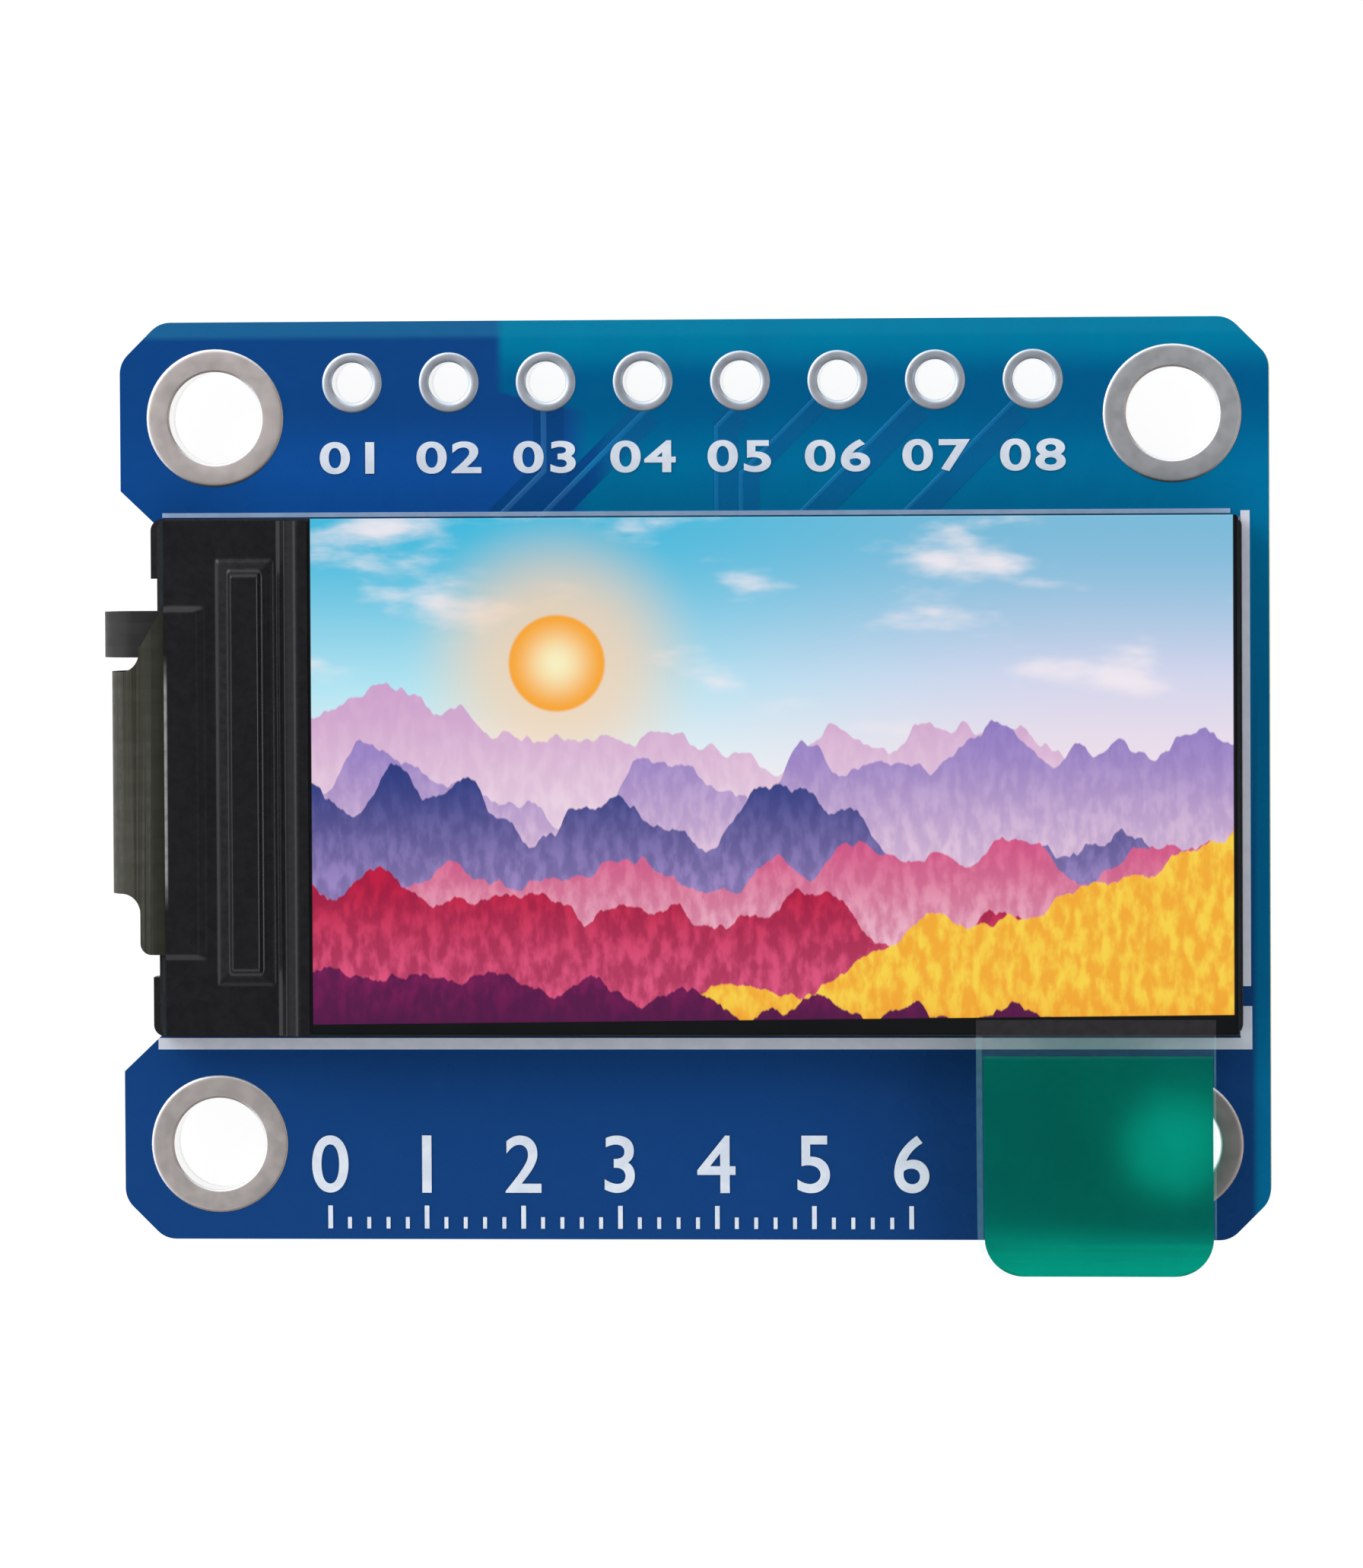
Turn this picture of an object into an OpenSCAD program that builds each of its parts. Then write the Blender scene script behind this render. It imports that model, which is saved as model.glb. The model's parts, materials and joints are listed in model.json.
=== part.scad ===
// Small colour display module: a glass panel and its backlight on a carrier board, screen up.
// The origin is the centre of the board's back face. X runs along the board and Z out of the screen.

/* [Board] */
// Length of the circuit board
board_w = 30; // [29.5:0.1:36]
// Height of the circuit board
board_h = 24; // [23:0.1:30]
// Thickness of the circuit board
board_t = 1.2; // [0.8:0.1:1.6]
// Size of the slanted cut at each corner of the board
corner_cut = 1.05; // [0.4:0.05:1.5]
// Radius at the ends of each corner cut
corner_ease_r = 0.7; // [0.2:0.1:1.2]
// Height of the cable notch in the left edge
notch_h = 13.2; // [10.5:0.1:14.2]
// Depth of the cable notch
notch_depth = 1.6; // [1.2:0.1:2.4]
// Radius of the cutter that left the notch's inner corners
notch_r = 0.5; // [0.2:0.05:0.6]
// Depth of the flare at the mouth of the notch
flare_depth = 1.05; // [0.2:0.05:1.1]
// Rise of the flare at each end of the notch
flare_rise = 1; // [0.1:0.05:1.1]
// Thickness of the copper on pads and hole walls
copper_t = 0.04; // [0.03:0.005:0.07]

/* [Mounting holes] */
// Distance from each mounting hole to the two board edges beside it
hole_inset = 2.5; // [2.2:0.05:3]
// Diameter of the mounting holes
hole_d = 2.4; // [2:0.1:2.6]
// Width of the plated ring around each mounting hole
hole_ring = 0.6; // [0.3:0.05:0.7]

/* [Header holes] */
// Number of header holes
pin_count = 8; // [4:1:8]
// Spacing of the header holes
pin_pitch = 2.54; // [2:0.02:2.6]
// Diameter of the header holes
pin_hole_d = 1.05; // [0.9:0.05:1.2]
// Width of the plated ring around each header hole
pin_ring = 0.26; // [0.15:0.01:0.35]
// Distance from the header row to the board's top edge
pin_row_inset = 1.6; // [1.3:0.05:2.4]

/* [Panel] */
// Height of the panel with its backlight frame
panel_h = 13.5; // [12.8:0.1:14.2]
// Distance of the panel's left end from the board's edge
panel_inset_left = 0.9; // [0.7:0.05:1.1]
// Distance of the panel's right end from the board's edge
panel_inset_right = 0.7; // [0.5:0.05:1]
// Offset of the panel up the board, from the middle of the cable
panel_y = 0.12; // [0:0.02:0.2]
// Thickness of each glass plate
glass_t = 0.3; // [0.2:0.05:0.5]
// Distance of the glass from the frame's edge on three sides
glass_margin = 0.05; // [0.05:0.05:0.3]
// Distance of the glass from the frame's left end
glass_setback = 0.3; // [0.2:0.05:0.4]
// Width of the ledge of lower glass that carries the driver chip
ledge_w = 3.28; // [3:0.02:3.6]
// Thickness of each polariser
polariser_t = 0.1; // [0.08:0.01:0.15]
// Distance of the polarisers from the edge of the glass on three sides
polariser_margin = 0.05; // [0.05:0.05:0.3]
// Distance of the polarisers from the left edge of the upper glass
polariser_setback = 0.67; // [0.3:0.01:0.8]
// Thickness of the peel-off film over the screen
film_t = 0.05; // [0.03:0.01:0.08]
// Distance of the peel-off film from the edge of the front polariser
film_margin = 0.03; // [0.02:0.01:0.1]

/* [Backlight] */
// Thickness of the foam tape between the board and the backlight
foam_t = 0.15; // [0.1:0.05:0.4]
// Distance of the foam tape from the panel's edge
foam_margin = 0.3; // [0.1:0.05:0.5]
// Thickness of the reflector film
reflector_t = 0.07; // [0.05:0.01:0.1]
// Thickness of the light guide
guide_t = 0.45; // [0.4:0.05:0.8]
// Distance of the light guide's lit face from the left edge of the upper glass
guide_setback = 0.2; // [0.1:0.05:0.4]
// Thickness of the diffuser film
diffuser_t = 0.06; // [0.04:0.01:0.1]
// Thickness of each prism film
prism_t = 0.06; // [0.04:0.01:0.1]
// Thickness of the frame's walls
frame_wall = 0.55; // [0.4:0.05:0.7]
// Radius of the frame's corners
frame_corner_r = 0.3; // [0.1:0.05:0.5]
// Depth of the recess in the frame's left wall where the cable turns down
recess_depth = 0.17; // [0.05:0.01:0.2]
// Height of that recess
recess_h = 10.4; // [9.4:0.1:11]
// Clearance of the films and the light guide in the frame
pocket_gap = 0.05; // [0.03:0.01:0.1]
// Thickness of the black rim tape between backlight and glass
rim_tape_t = 0.05; // [0.03:0.01:0.1]
// Width of the rim tape on three sides
rim_tape_w = 0.8; // [0.6:0.05:1]
// Overlap of the rim tape on the lit end of the light guide
rim_tape_lap = 0.3; // [0.2:0.05:0.5]
// Number of backlight lamps
lamp_count = 2; // [1:1:3]
// Length of each lamp
lamp_l = 2.6; // [2:0.1:2.8]
// Depth of each lamp
lamp_depth = 1; // [0.8:0.05:1.2]
// Thickness of each lamp
lamp_t = 0.4; // [0.3:0.05:0.4]
// Spacing of the lamps
lamp_pitch = 4; // [3:0.1:4]
// Gap between the lamps and the light guide
lamp_gap = 0.05; // [0.02:0.01:0.1]

/* [Backlight strip] */
// Thickness of the backlight's flexible strip
strip_t = 0.1; // [0.08:0.01:0.12]
// Height of the strip under the lamps
strip_h = 10; // [9.2:0.1:10.4]
// Width of the strip's tail
tail_w = 1.19; // [0.9:0.01:1.25]
// Distance of the tail from the edge of the main cable
tail_edge = 0.03; // [0.01:0.01:0.1]
// Straight run of the tail from the panel's left end to its fold
tail_lead = 0.56; // [0.3:0.02:0.6]
// Length of the tail that lies on the main cable
tail_land = 2; // [1.5:0.1:2.6]
// Size of the solder joints at the tail's end
tail_joint = 0.1; // [0.05:0.01:0.12]

/* [Driver] */
// Width of the driver chip
chip_w = 0.72; // [0.6:0.02:0.9]
// Length of the driver chip
chip_l = 10.3; // [9:0.1:11]
// Thickness of the driver chip
chip_t = 0.28; // [0.15:0.01:0.3]
// Distance of the chip from the edge of the upper glass
chip_setback = 0.69; // [0.5:0.01:0.8]
// Offset of the chip up the panel
chip_shift = 0.15; // [0:0.05:0.3]
// Thickness of the black tape over the ledge
tape_t = 0.05; // [0.03:0.01:0.08]
// Distance of the tape from the front polariser
tape_gap = 0.05; // [0.02:0.01:0.1]
// Distance of the tape from the left edge of the lower glass
tape_setback = 0.1; // [0.05:0.01:0.2]
// Run of the tape's slope around the chip
tent_run = 0.38; // [0.2:0.02:0.5]
// Run of the tape's slope at the edge of the upper glass
step_run = 0.2; // [0.1:0.02:0.3]
// Run of the tape's slope at the edge of the cable
bond_run = 0.15; // [0.05:0.01:0.2]

/* [Flex cable] */
// Thickness of the flexible cable
flex_t = 0.1; // [0.08:0.01:0.14]
// Number of the cable's contacts
finger_count = 13; // [10:1:13]
// Spacing of the contacts
finger_pitch = 0.7; // [0.6:0.01:0.72]
// Width of each contact
finger_w = 0.35; // [0.25:0.01:0.45]
// Length of each soldered contact
finger_l = 1.6; // [1:0.1:2]
// Bare edge of the cable beside the outer contacts
finger_margin = 0.1; // [0.05:0.01:0.15]
// Width of the cable on the bend
neck_w = 5.8; // [4.5:0.1:5.9]
// Radius of the corners between the wide end and the neck
neck_fillet_r = 0.5; // [0.2:0.05:0.6]
// Reach of the wide end past the start of the fold
shoulder_reach = 0.52; // [0.4:0.02:0.7]
// Radius of the wide end's outer corners
shoulder_r = 0.3; // [0.1:0.05:0.4]
// Width of the slant at the wide end's upper corner
slant_w = 0.6; // [0.4:0.05:0.7]
// Height of that slant
slant_h = 1; // [0.4:0.05:1.1]
// Width of the cable bonded on the ledge
bond_w = 0.9; // [0.7:0.05:1]
// Straight run of the cable past the glass before it folds
bend_lead = 0.06; // [0.02:0.01:0.08]
// Length of the cable along the back of the board
flex_land = 4.3; // [4:0.1:5]
// Thickness of solder between a contact and its pad
solder_t = 0.02; // [0.01:0.01:0.05]

/* [Pull tab] */
// Width of the pull tab
tab_w = 6.2; // [4:0.1:8]
// Length of the pull tab
tab_l = 6.73; // [5:0.01:9]
// Distance of the tab from the panel's right end
tab_inset = 0.67; // [0.4:0.01:2]
// Lap of the tab on the peel-off film
tab_lap = 0.35; // [0.2:0.05:2]
// Thickness of the tab's clear tape
tab_t = 0.05; // [0.03:0.01:0.1]
// Thickness of the green grip film under the tape
grip_t = 0.05; // [0.03:0.01:0.1]
// Distance from the peel-off film's lower edge to the grip film
grip_start = 0.6; // [0.5:0.05:1.5]
// Rim of clear tape at the grip film's left
grip_left = 0.18; // [0.05:0.01:0.4]
// Rim of clear tape at the grip film's right
grip_right = 0.08; // [0.05:0.01:0.4]
// Rim of clear tape at the grip film's lower end
grip_low = 0.02; // [0.02:0.01:0.2]
// Radius of the tab's lower corners
tab_corner_r = 1.1; // [0.3:0.1:1.8]
// Radius of the tab's sag
tab_sag_r = 30; // [25:1:80]

/* [Parts on the back] */
// Distance of the upper row of parts from the board's centre
upper_row_y = 5.6; // [5.2:0.1:6.2]
// Distance of the lower row of parts from the board's centre
lower_row_y = 7.4; // [6:0.1:8]
// Spacing of the parts along their rows
part_pitch = 3.6; // [3:0.1:3.8]
// Length of a regulator or transistor body
sot_l = 2.9; // [2.7:0.05:3.1]
// Width of a regulator or transistor body
sot_w = 1.3; // [1.2:0.05:1.4]
// Thickness of a regulator or transistor body
sot_t = 1; // [0.9:0.05:1.1]
// Gap under a regulator or transistor body
sot_standoff = 0.08; // [0.02:0.01:0.1]
// Draft of a moulded body's sides
sot_draft = 0.1; // [0.05:0.01:0.15]
// Distance across the tips of the leads
lead_span = 2.4; // [2.2:0.05:2.6]
// Spacing of the leads along the body
lead_pitch = 0.95; // [0.9:0.05:1]
// Width of a lead
lead_w = 0.4; // [0.3:0.05:0.5]
// Thickness of a lead
lead_t = 0.12; // [0.1:0.01:0.15]
// Length of a lead's foot
lead_foot = 0.35; // [0.25:0.05:0.4]
// Length of a resistor or capacitor
chip_part_l = 1.6; // [1.4:0.05:1.8]
// Width of a resistor or capacitor
chip_part_w = 0.8; // [0.7:0.05:0.9]
// Thickness of a resistor's body
resistor_t = 0.4; // [0.3:0.05:0.55]
// Thickness of a capacitor's body
capacitor_t = 0.75; // [0.6:0.05:0.85]
// Length of a metal end
end_l = 0.3; // [0.2:0.05:0.4]
// Thickness of a metal end's skin
end_skin = 0.03; // [0.02:0.01:0.05]
// Radius of the solder fillet at each metal end or lead
joint_r = 0.2; // [0.1:0.02:0.25]
// Bare pad around each joint
pad_margin = 0.06; // [0.02:0.01:0.1]

/* [Hidden] */
$fn = 96;
// Overshoot of cutting shapes
cut = 1;

// Heights of the stack, from the board's back face up
board_top = board_t;
foam_top = board_top + foam_t;
guide_bottom = foam_top + reflector_t;
guide_top = guide_bottom + guide_t;
diffuser_top = guide_top + diffuser_t;
prism_middle = diffuser_top + prism_t;
frame_top = prism_middle + prism_t;
frame_t = frame_top - foam_top;
rim_top = frame_top + rim_tape_t;
lower_glass_bottom = rim_top + polariser_t;
ledge_top = lower_glass_bottom + glass_t;
upper_glass_top = ledge_top + glass_t;
polariser_top = upper_glass_top + polariser_t;
film_top = polariser_top + film_t;
tab_top = film_top + tab_t;

// Left and right ends of the panel and its layers
panel_x0 = -board_w / 2 + panel_inset_left;
panel_x1 = board_w / 2 - panel_inset_right;
panel_w = panel_x1 - panel_x0;
glass_x0 = panel_x0 + glass_setback;
glass_x1 = panel_x1 - glass_margin;
glass_h = panel_h - 2 * glass_margin;
upper_glass_x0 = glass_x0 + ledge_w;
polariser_x0 = upper_glass_x0 + polariser_setback;
polariser_x1 = glass_x1 - polariser_margin;
polariser_h = glass_h - 2 * polariser_margin;
film_x0 = polariser_x0 + film_margin;
film_x1 = polariser_x1 - film_margin;
film_h = polariser_h - 2 * film_margin;

// Inside of the backlight frame
pocket_x0 = panel_x0 + recess_depth + frame_wall;
pocket_x1 = panel_x1 - frame_wall;
pocket_h = panel_h - 2 * frame_wall;
guide_x0 = upper_glass_x0 + guide_setback;
guide_x1 = pocket_x1 - pocket_gap;
guide_h = pocket_h - 2 * pocket_gap;
strip_x0 = pocket_x0 + pocket_gap;
strip_x1 = guide_x0 - pocket_gap;

// Driver chip and the black tape over the ledge
chip_x1 = upper_glass_x0 - chip_setback;
chip_x0 = chip_x1 - chip_w;
tape_x0 = glass_x0 + tape_setback;
tape_x1 = polariser_x0 - tape_gap;

// Fold of the main cable, from the ledge to the board's back
flex_w = (finger_count - 1) * finger_pitch + finger_w + 2 * finger_margin;
bend_x = glass_x0 - bend_lead;
bond_x = glass_x0 + bond_w;
flex_x1 = bend_x + flex_land;
flex_bottom = -copper_t - solder_t - flex_t;
flex_r = (ledge_top + flex_t - flex_bottom) / 2;
flex_z = flex_bottom + flex_r;
shoulder_x = bend_x - shoulder_reach;

// Fold of the backlight's tail, from the frame to the underside of the main cable
tail_y = flex_w / 2 - tail_edge - tail_w / 2;
tail_x = panel_x0 - tail_lead;
tail_bottom = flex_bottom - strip_t;
tail_r = (foam_top + strip_t - tail_bottom) / 2;
tail_z = tail_bottom + tail_r;
tail_x1 = bend_x + tail_land;

// Pull tab, hung from the lower edge of the peel-off film
tab_x1 = panel_x1 - tab_inset;
tab_y1 = -film_h / 2 + tab_lap;
tab_y0 = tab_y1 - tab_l;
tab_bend_y = -panel_h / 2;
grip_y1 = -film_h / 2 - grip_start;

// Places of the holes
hole_x = board_w / 2 - hole_inset;
hole_y = board_h / 2 - hole_inset;
pin_y = board_h / 2 - pin_row_inset;
pin_x0 = -(pin_count - 1) * pin_pitch / 2;

// Places of the parts on the back
regulator_at = [-part_pitch, upper_row_y];
transistor_at = [part_pitch, upper_row_y];
resistors_at = [[0, upper_row_y], [2 * part_pitch, upper_row_y], [0, -lower_row_y]];
capacitors_at = [
    [-2 * part_pitch, upper_row_y],
    [-part_pitch, -lower_row_y],
    [part_pitch, -lower_row_y]
];
resistor_nodes = [for (i = [1:len(resistors_at)]) str("resistor_", i)];
capacitor_nodes = [for (i = [1:len(capacitors_at)]) str("capacitor_", i)];
// Middle height of a moulded body, where its leads come out
lead_z = sot_standoff + sot_t / 2;

// Rectangle with round corners, centred on the origin
module rounded_rect(w, h, r) {
    square([w - 2 * r, h], center = true);
    square([w, h - 2 * r], center = true);
    for (x = [-1, 1], y = [-1, 1])
        translate([x * (w / 2 - r), y * (h / 2 - r)])
            circle(r);
}

// Rectangle with a slanted cut at each corner and round ends to the cuts, centred on the origin
module cut_rect(w, h, c, r) {
    end = r * tan(22.5);
    lean = end * cos(45);
    quarter = [
        [w / 2, h / 2 - c - end], [w / 2 - lean, h / 2 - c + lean],
        [w / 2 - c + lean, h / 2 - lean], [w / 2 - c - end, h / 2]
    ];
    back = [for (i = [3:-1:0]) quarter[i]];
    polygon(concat(
        quarter,
        [for (p = back) [-p.x, p.y]],
        [for (p = quarter) [-p.x, -p.y]],
        [for (p = back) [p.x, -p.y]]
    ));
    for (x = [-1, 1], y = [-1, 1]) {
        translate([x * (w / 2 - c - end), y * (h / 2 - r)])
            circle(r);
        translate([x * (w / 2 - r), y * (h / 2 - c - end)])
            circle(r);
    }
}

// Flat layer between two ends along X, centred on the X axis
module layer(x0, x1, h, z0, t) {
    translate([x0, -h / 2, z0])
        cube([x1 - x0, h, t]);
}

// Puts a layer drawn about the X axis at the panel's middle
module on_panel() {
    translate([0, panel_y, 0])
        children();
}

// Solid that runs along Y from a profile drawn in X and Z
module along_y(w) {
    rotate([90, 0, 0])
        linear_extrude(w, center = true)
            children();
}

// Solid that runs along X from a profile drawn in Y and Z
module along_x(x0, x1) {
    translate([x0, 0, 0])
        rotate([90, 0, 90])
            linear_extrude(x1 - x0)
                children();
}

// Plated hole: a tube through the board with a flat ring on each face
module eyelet(d, ring) {
    r = d / 2;
    rotate_extrude()
        polygon([
            [r, -copper_t], [r + ring, -copper_t], [r + ring, 0], [r + copper_t, 0],
            [r + copper_t, board_t], [r + ring, board_t],
            [r + ring, board_t + copper_t], [r, board_t + copper_t]
        ]);
}

module at_mounting_holes() {
    for (x = [-hole_x, hole_x], y = [-hole_y, hole_y])
        translate([x, y, 0])
            children();
}

module at_header_holes() {
    for (i = [0:pin_count - 1])
        translate([pin_x0 + i * pin_pitch, pin_y, 0])
            children();
}

// Notch in the board's left edge, with a flared mouth and round inner corners
module notch_outline() {
    mouth_y = notch_h / 2 + flare_rise;
    inner_y = notch_h / 2;
    translate([-board_w / 2, 0]) {
        polygon([
            [-cut, mouth_y], [0, mouth_y], [flare_depth, inner_y],
            [flare_depth, -inner_y], [0, -mouth_y], [-cut, -mouth_y]
        ]);
        translate([0, -inner_y])
            square([notch_depth - notch_r, notch_h]);
        translate([0, -inner_y + notch_r])
            square([notch_depth, notch_h - 2 * notch_r]);
        for (s = [-1, 1])
            translate([notch_depth - notch_r, s * (inner_y - notch_r)])
                circle(notch_r);
    }
}

module board() {
    color("#124d8c")
        difference() {
            linear_extrude(board_t)
                difference() {
                    cut_rect(board_w, board_h, corner_cut, corner_ease_r);
                    notch_outline();
                }
            at_mounting_holes()
                translate([0, 0, -cut])
                    cylinder(d = hole_d + 2 * copper_t, h = board_t + 2 * cut);
            at_header_holes()
                translate([0, 0, -cut])
                    cylinder(d = pin_hole_d + 2 * copper_t, h = board_t + 2 * cut);
        }
}

module mounting_pads() {
    color("#aca4a3")
        at_mounting_holes()
            eyelet(hole_d, hole_ring);
}

module header_pads() {
    color("#aca4a3")
        at_header_holes()
            eyelet(pin_hole_d, pin_ring);
}

module at_fingers() {
    for (i = [0:finger_count - 1])
        translate([0, (i - (finger_count - 1) / 2) * finger_pitch, 0])
            children();
}

// Height of a cable joint's fillet: up the cable's end face
function finger_fillet() = solder_t + flex_t;

module flex_pads() {
    color("#b5a36a")
        at_fingers()
            layer(flex_x1 - finger_l, flex_x1 + finger_fillet() + pad_margin, finger_w, -copper_t, copper_t);
}

// Joint of one contact: a thin film under the cable and a hollow fillet up its end
module flex_solder() {
    r = finger_fillet();
    color("#b9babd")
        at_fingers()
            translate([flex_x1, 0, -copper_t])
                along_y(finger_w) {
                    translate([-finger_l, -solder_t])
                        square([finger_l + r / 2, solder_t]);
                    difference() {
                        translate([0, -r])
                            square(r);
                        translate([r, -r])
                            circle(r);
                    }
                }
}

module foam_tape() {
    foam_x0 = -board_w / 2 + notch_depth + foam_margin;
    color("#d9d9d2")
        layer(foam_x0, panel_x1 - foam_margin, panel_h - 2 * foam_margin, board_top, foam_t);
}

// Moulded frame: a ring with a shallow recess for the cable and a slot for the backlight's tail
module backlight_frame() {
    slot_t = strip_t + pocket_gap;
    slot_w = tail_w + 2 * pocket_gap;
    color("#1f1d22")
        difference() {
            translate([(panel_x0 + panel_x1) / 2, 0, foam_top])
                linear_extrude(frame_t)
                    rounded_rect(panel_w, panel_h, frame_corner_r);
            layer(panel_x0 - cut, panel_x0 + recess_depth, recess_h, foam_top - cut, frame_t + 2 * cut);
            layer(pocket_x0, pocket_x1, pocket_h, foam_top - cut, frame_t + 2 * cut);
            translate([0, tail_y - panel_y, 0])
                layer(panel_x0 - cut, pocket_x0 + cut, slot_w, foam_top - cut, slot_t + cut);
        }
}

module reflector_film() {
    color("#e8e8e8")
        layer(guide_x0, guide_x1, guide_h, foam_top, reflector_t);
}

module light_guide() {
    color("#e6f2f5")
        layer(guide_x0, guide_x1, guide_h, guide_bottom, guide_t);
}

module diffuser_film() {
    color("#f4f4f0")
        layer(guide_x0, guide_x1, guide_h, guide_top, diffuser_t);
}

module prism_film_lower() {
    color("#eef2f4")
        layer(guide_x0, guide_x1, guide_h, diffuser_top, prism_t);
}

module prism_film_upper() {
    color("#f2f5f7")
        layer(guide_x0, guide_x1, guide_h, prism_middle, prism_t);
}

// Folded strip of film, seen from its edge: two straight runs joined by a half turn on the left
module fold_profile(x, z, r, t, upper_x, lower_x) {
    translate([x, z + r - t])
        square([upper_x - x, t]);
    translate([x, z - r])
        square([lower_x - x, t]);
    translate([x, z])
        difference() {
            intersection() {
                circle(r);
                translate([-r - cut, -r - cut])
                    square([r + cut, 2 * (r + cut)]);
            }
            circle(r - t);
        }
}

// Lamp strip with the tail that leaves the frame and folds under the main cable
module backlight_flex() {
    color("#343436") {
        layer(strip_x0, strip_x1, strip_h, foam_top, strip_t);
        translate([0, tail_y, 0])
            along_y(tail_w)
                fold_profile(tail_x, tail_z, tail_r, strip_t, strip_x0 + strip_t, tail_x1);
    }
}

module backlight_leds() {
    lamp_x1 = guide_x0 - lamp_gap;
    color("#f3efcf")
        for (i = [0:lamp_count - 1])
            translate([0, (i - (lamp_count - 1) / 2) * lamp_pitch, 0])
                layer(lamp_x1 - lamp_depth, lamp_x1, lamp_l, foam_top + strip_t, lamp_t);
}

// Two joints side by side at the end of the backlight's tail, on the main cable
module tail_solder() {
    color("#b9babd")
        for (s = [-1, 1])
            translate([tail_x1, tail_y + s * tail_w / 4, flex_bottom])
                along_y(tail_w / 3)
                    difference() {
                        translate([0, -tail_joint])
                            square(tail_joint);
                        translate([tail_joint, -tail_joint])
                            circle(tail_joint);
                    }
}

module rim_tape() {
    window_x0 = guide_x0 + rim_tape_lap;
    window_x1 = panel_x1 - rim_tape_w;
    color("#17161a")
        difference() {
            translate([(panel_x0 + recess_depth + panel_x1) / 2, 0, frame_top])
                linear_extrude(rim_tape_t)
                    rounded_rect(panel_w - recess_depth, panel_h, frame_corner_r);
            layer(window_x0, window_x1, panel_h - 2 * rim_tape_w, frame_top - cut, rim_tape_t + 2 * cut);
        }
}

module rear_polariser() {
    color("#3a3c42")
        layer(upper_glass_x0, polariser_x1, polariser_h, rim_top, polariser_t);
}

module tft_glass() {
    color("#2b2e36")
        layer(glass_x0, glass_x1, glass_h, lower_glass_bottom, glass_t);
}

module colour_filter_glass() {
    color("#23252c")
        layer(upper_glass_x0, glass_x1, glass_h, ledge_top, glass_t);
}

module front_polariser() {
    color("#1d2a4a")
        layer(polariser_x0, polariser_x1, polariser_h, upper_glass_top, polariser_t);
}

module protective_film() {
    color("#7fb8d8", 0.4)
        layer(film_x0, film_x1, film_h, polariser_top, film_t);
}

module driver_chip() {
    color("#2a2b30")
        translate([0, chip_shift, 0])
            layer(chip_x0, chip_x1, chip_l, ledge_top, chip_t);
}

// Raised block with sloped sides that stands on the ledge
module ridge(x0, x1, y0, y1, rise, run) {
    top = ledge_top + rise;
    base = ledge_top - cut;
    intersection() {
        translate([0, (y0 + y1) / 2, 0])
            along_y(y1 - y0 + 2 * run)
                polygon([
                    [x0 - run, base], [x0 - run, ledge_top], [x0, top],
                    [x1, top], [x1 + run, ledge_top], [x1 + run, base]
                ]);
        along_x(x0 - run, x1 + run)
            polygon([
                [y0 - run, base], [y0 - run, ledge_top], [y0, top],
                [y1, top], [y1 + run, ledge_top], [y1 + run, base]
            ]);
    }
}

// What the black tape lies on: the ledge, the cable's end, the chip and the step of the upper glass
module ledge_relief() {
    side = panel_h / 2 + cut;
    layer(tape_x0 - cut, tape_x1 + cut, panel_h + 2 * cut, ledge_top - cut, cut);
    ridge(tape_x0 - cut, bond_x, -flex_w / 2 - panel_y, flex_w / 2 - panel_y, flex_t, bond_run);
    ridge(chip_x0, chip_x1, chip_shift - chip_l / 2, chip_shift + chip_l / 2, chip_t, tent_run);
    ridge(upper_glass_x0, tape_x1 + cut, -side, side, glass_t, step_run);
}

// Black tape draped over the ledge, so that the chip and the cable show in relief
module driver_tape() {
    color("#232126")
        difference() {
            intersection() {
                translate([0, 0, tape_t])
                    ledge_relief();
                layer(tape_x0, tape_x1, glass_h, ledge_top, upper_glass_top - ledge_top + 2 * cut);
            }
            ledge_relief();
        }
}

// Flat outline of the cable with both corners alike: a wide end, round shoulders and a filleted neck
module square_flex_outline() {
    far_x = bend_x - flex_r - cut;
    translate([shoulder_x + shoulder_r, -flex_w / 2])
        square([flex_x1 - shoulder_x - shoulder_r, flex_w]);
    translate([shoulder_x, -flex_w / 2 + shoulder_r])
        square([2 * shoulder_r, flex_w - 2 * shoulder_r]);
    translate([far_x, -neck_w / 2])
        square([shoulder_x - far_x + shoulder_r, neck_w]);
    for (s = [-1, 1]) {
        translate([shoulder_x + shoulder_r, s * (flex_w / 2 - shoulder_r)])
            circle(shoulder_r);
        translate([shoulder_x, s * neck_w / 2])
            scale([1, s])
                difference() {
                    translate([-neck_fillet_r, -shoulder_r])
                        square([neck_fillet_r + shoulder_r, neck_fillet_r + shoulder_r]);
                    translate([-neck_fillet_r, neck_fillet_r])
                        circle(neck_fillet_r);
                }
    }
}

// Flat outline of the folded cable, with a slant at the wide end's upper corner
module flex_outline() {
    corner_y = flex_w / 2;
    difference() {
        square_flex_outline();
        polygon([
            [shoulder_x - cut, corner_y - slant_h], [shoulder_x, corner_y - slant_h],
            [shoulder_x + slant_w, corner_y], [shoulder_x + slant_w, corner_y + cut],
            [shoulder_x - cut, corner_y + cut]
        ]);
    }
}

// Main cable, folded from the ledge round to the board's back
module flex_cable() {
    color("#4a483f")
        intersection() {
            along_y(flex_w + 2 * cut)
                fold_profile(bend_x, flex_z, flex_r, flex_t, bond_x, flex_x1);
            translate([0, 0, flex_bottom - cut])
                linear_extrude(2 * flex_r + 2 * cut)
                    flex_outline();
        }
}

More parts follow.
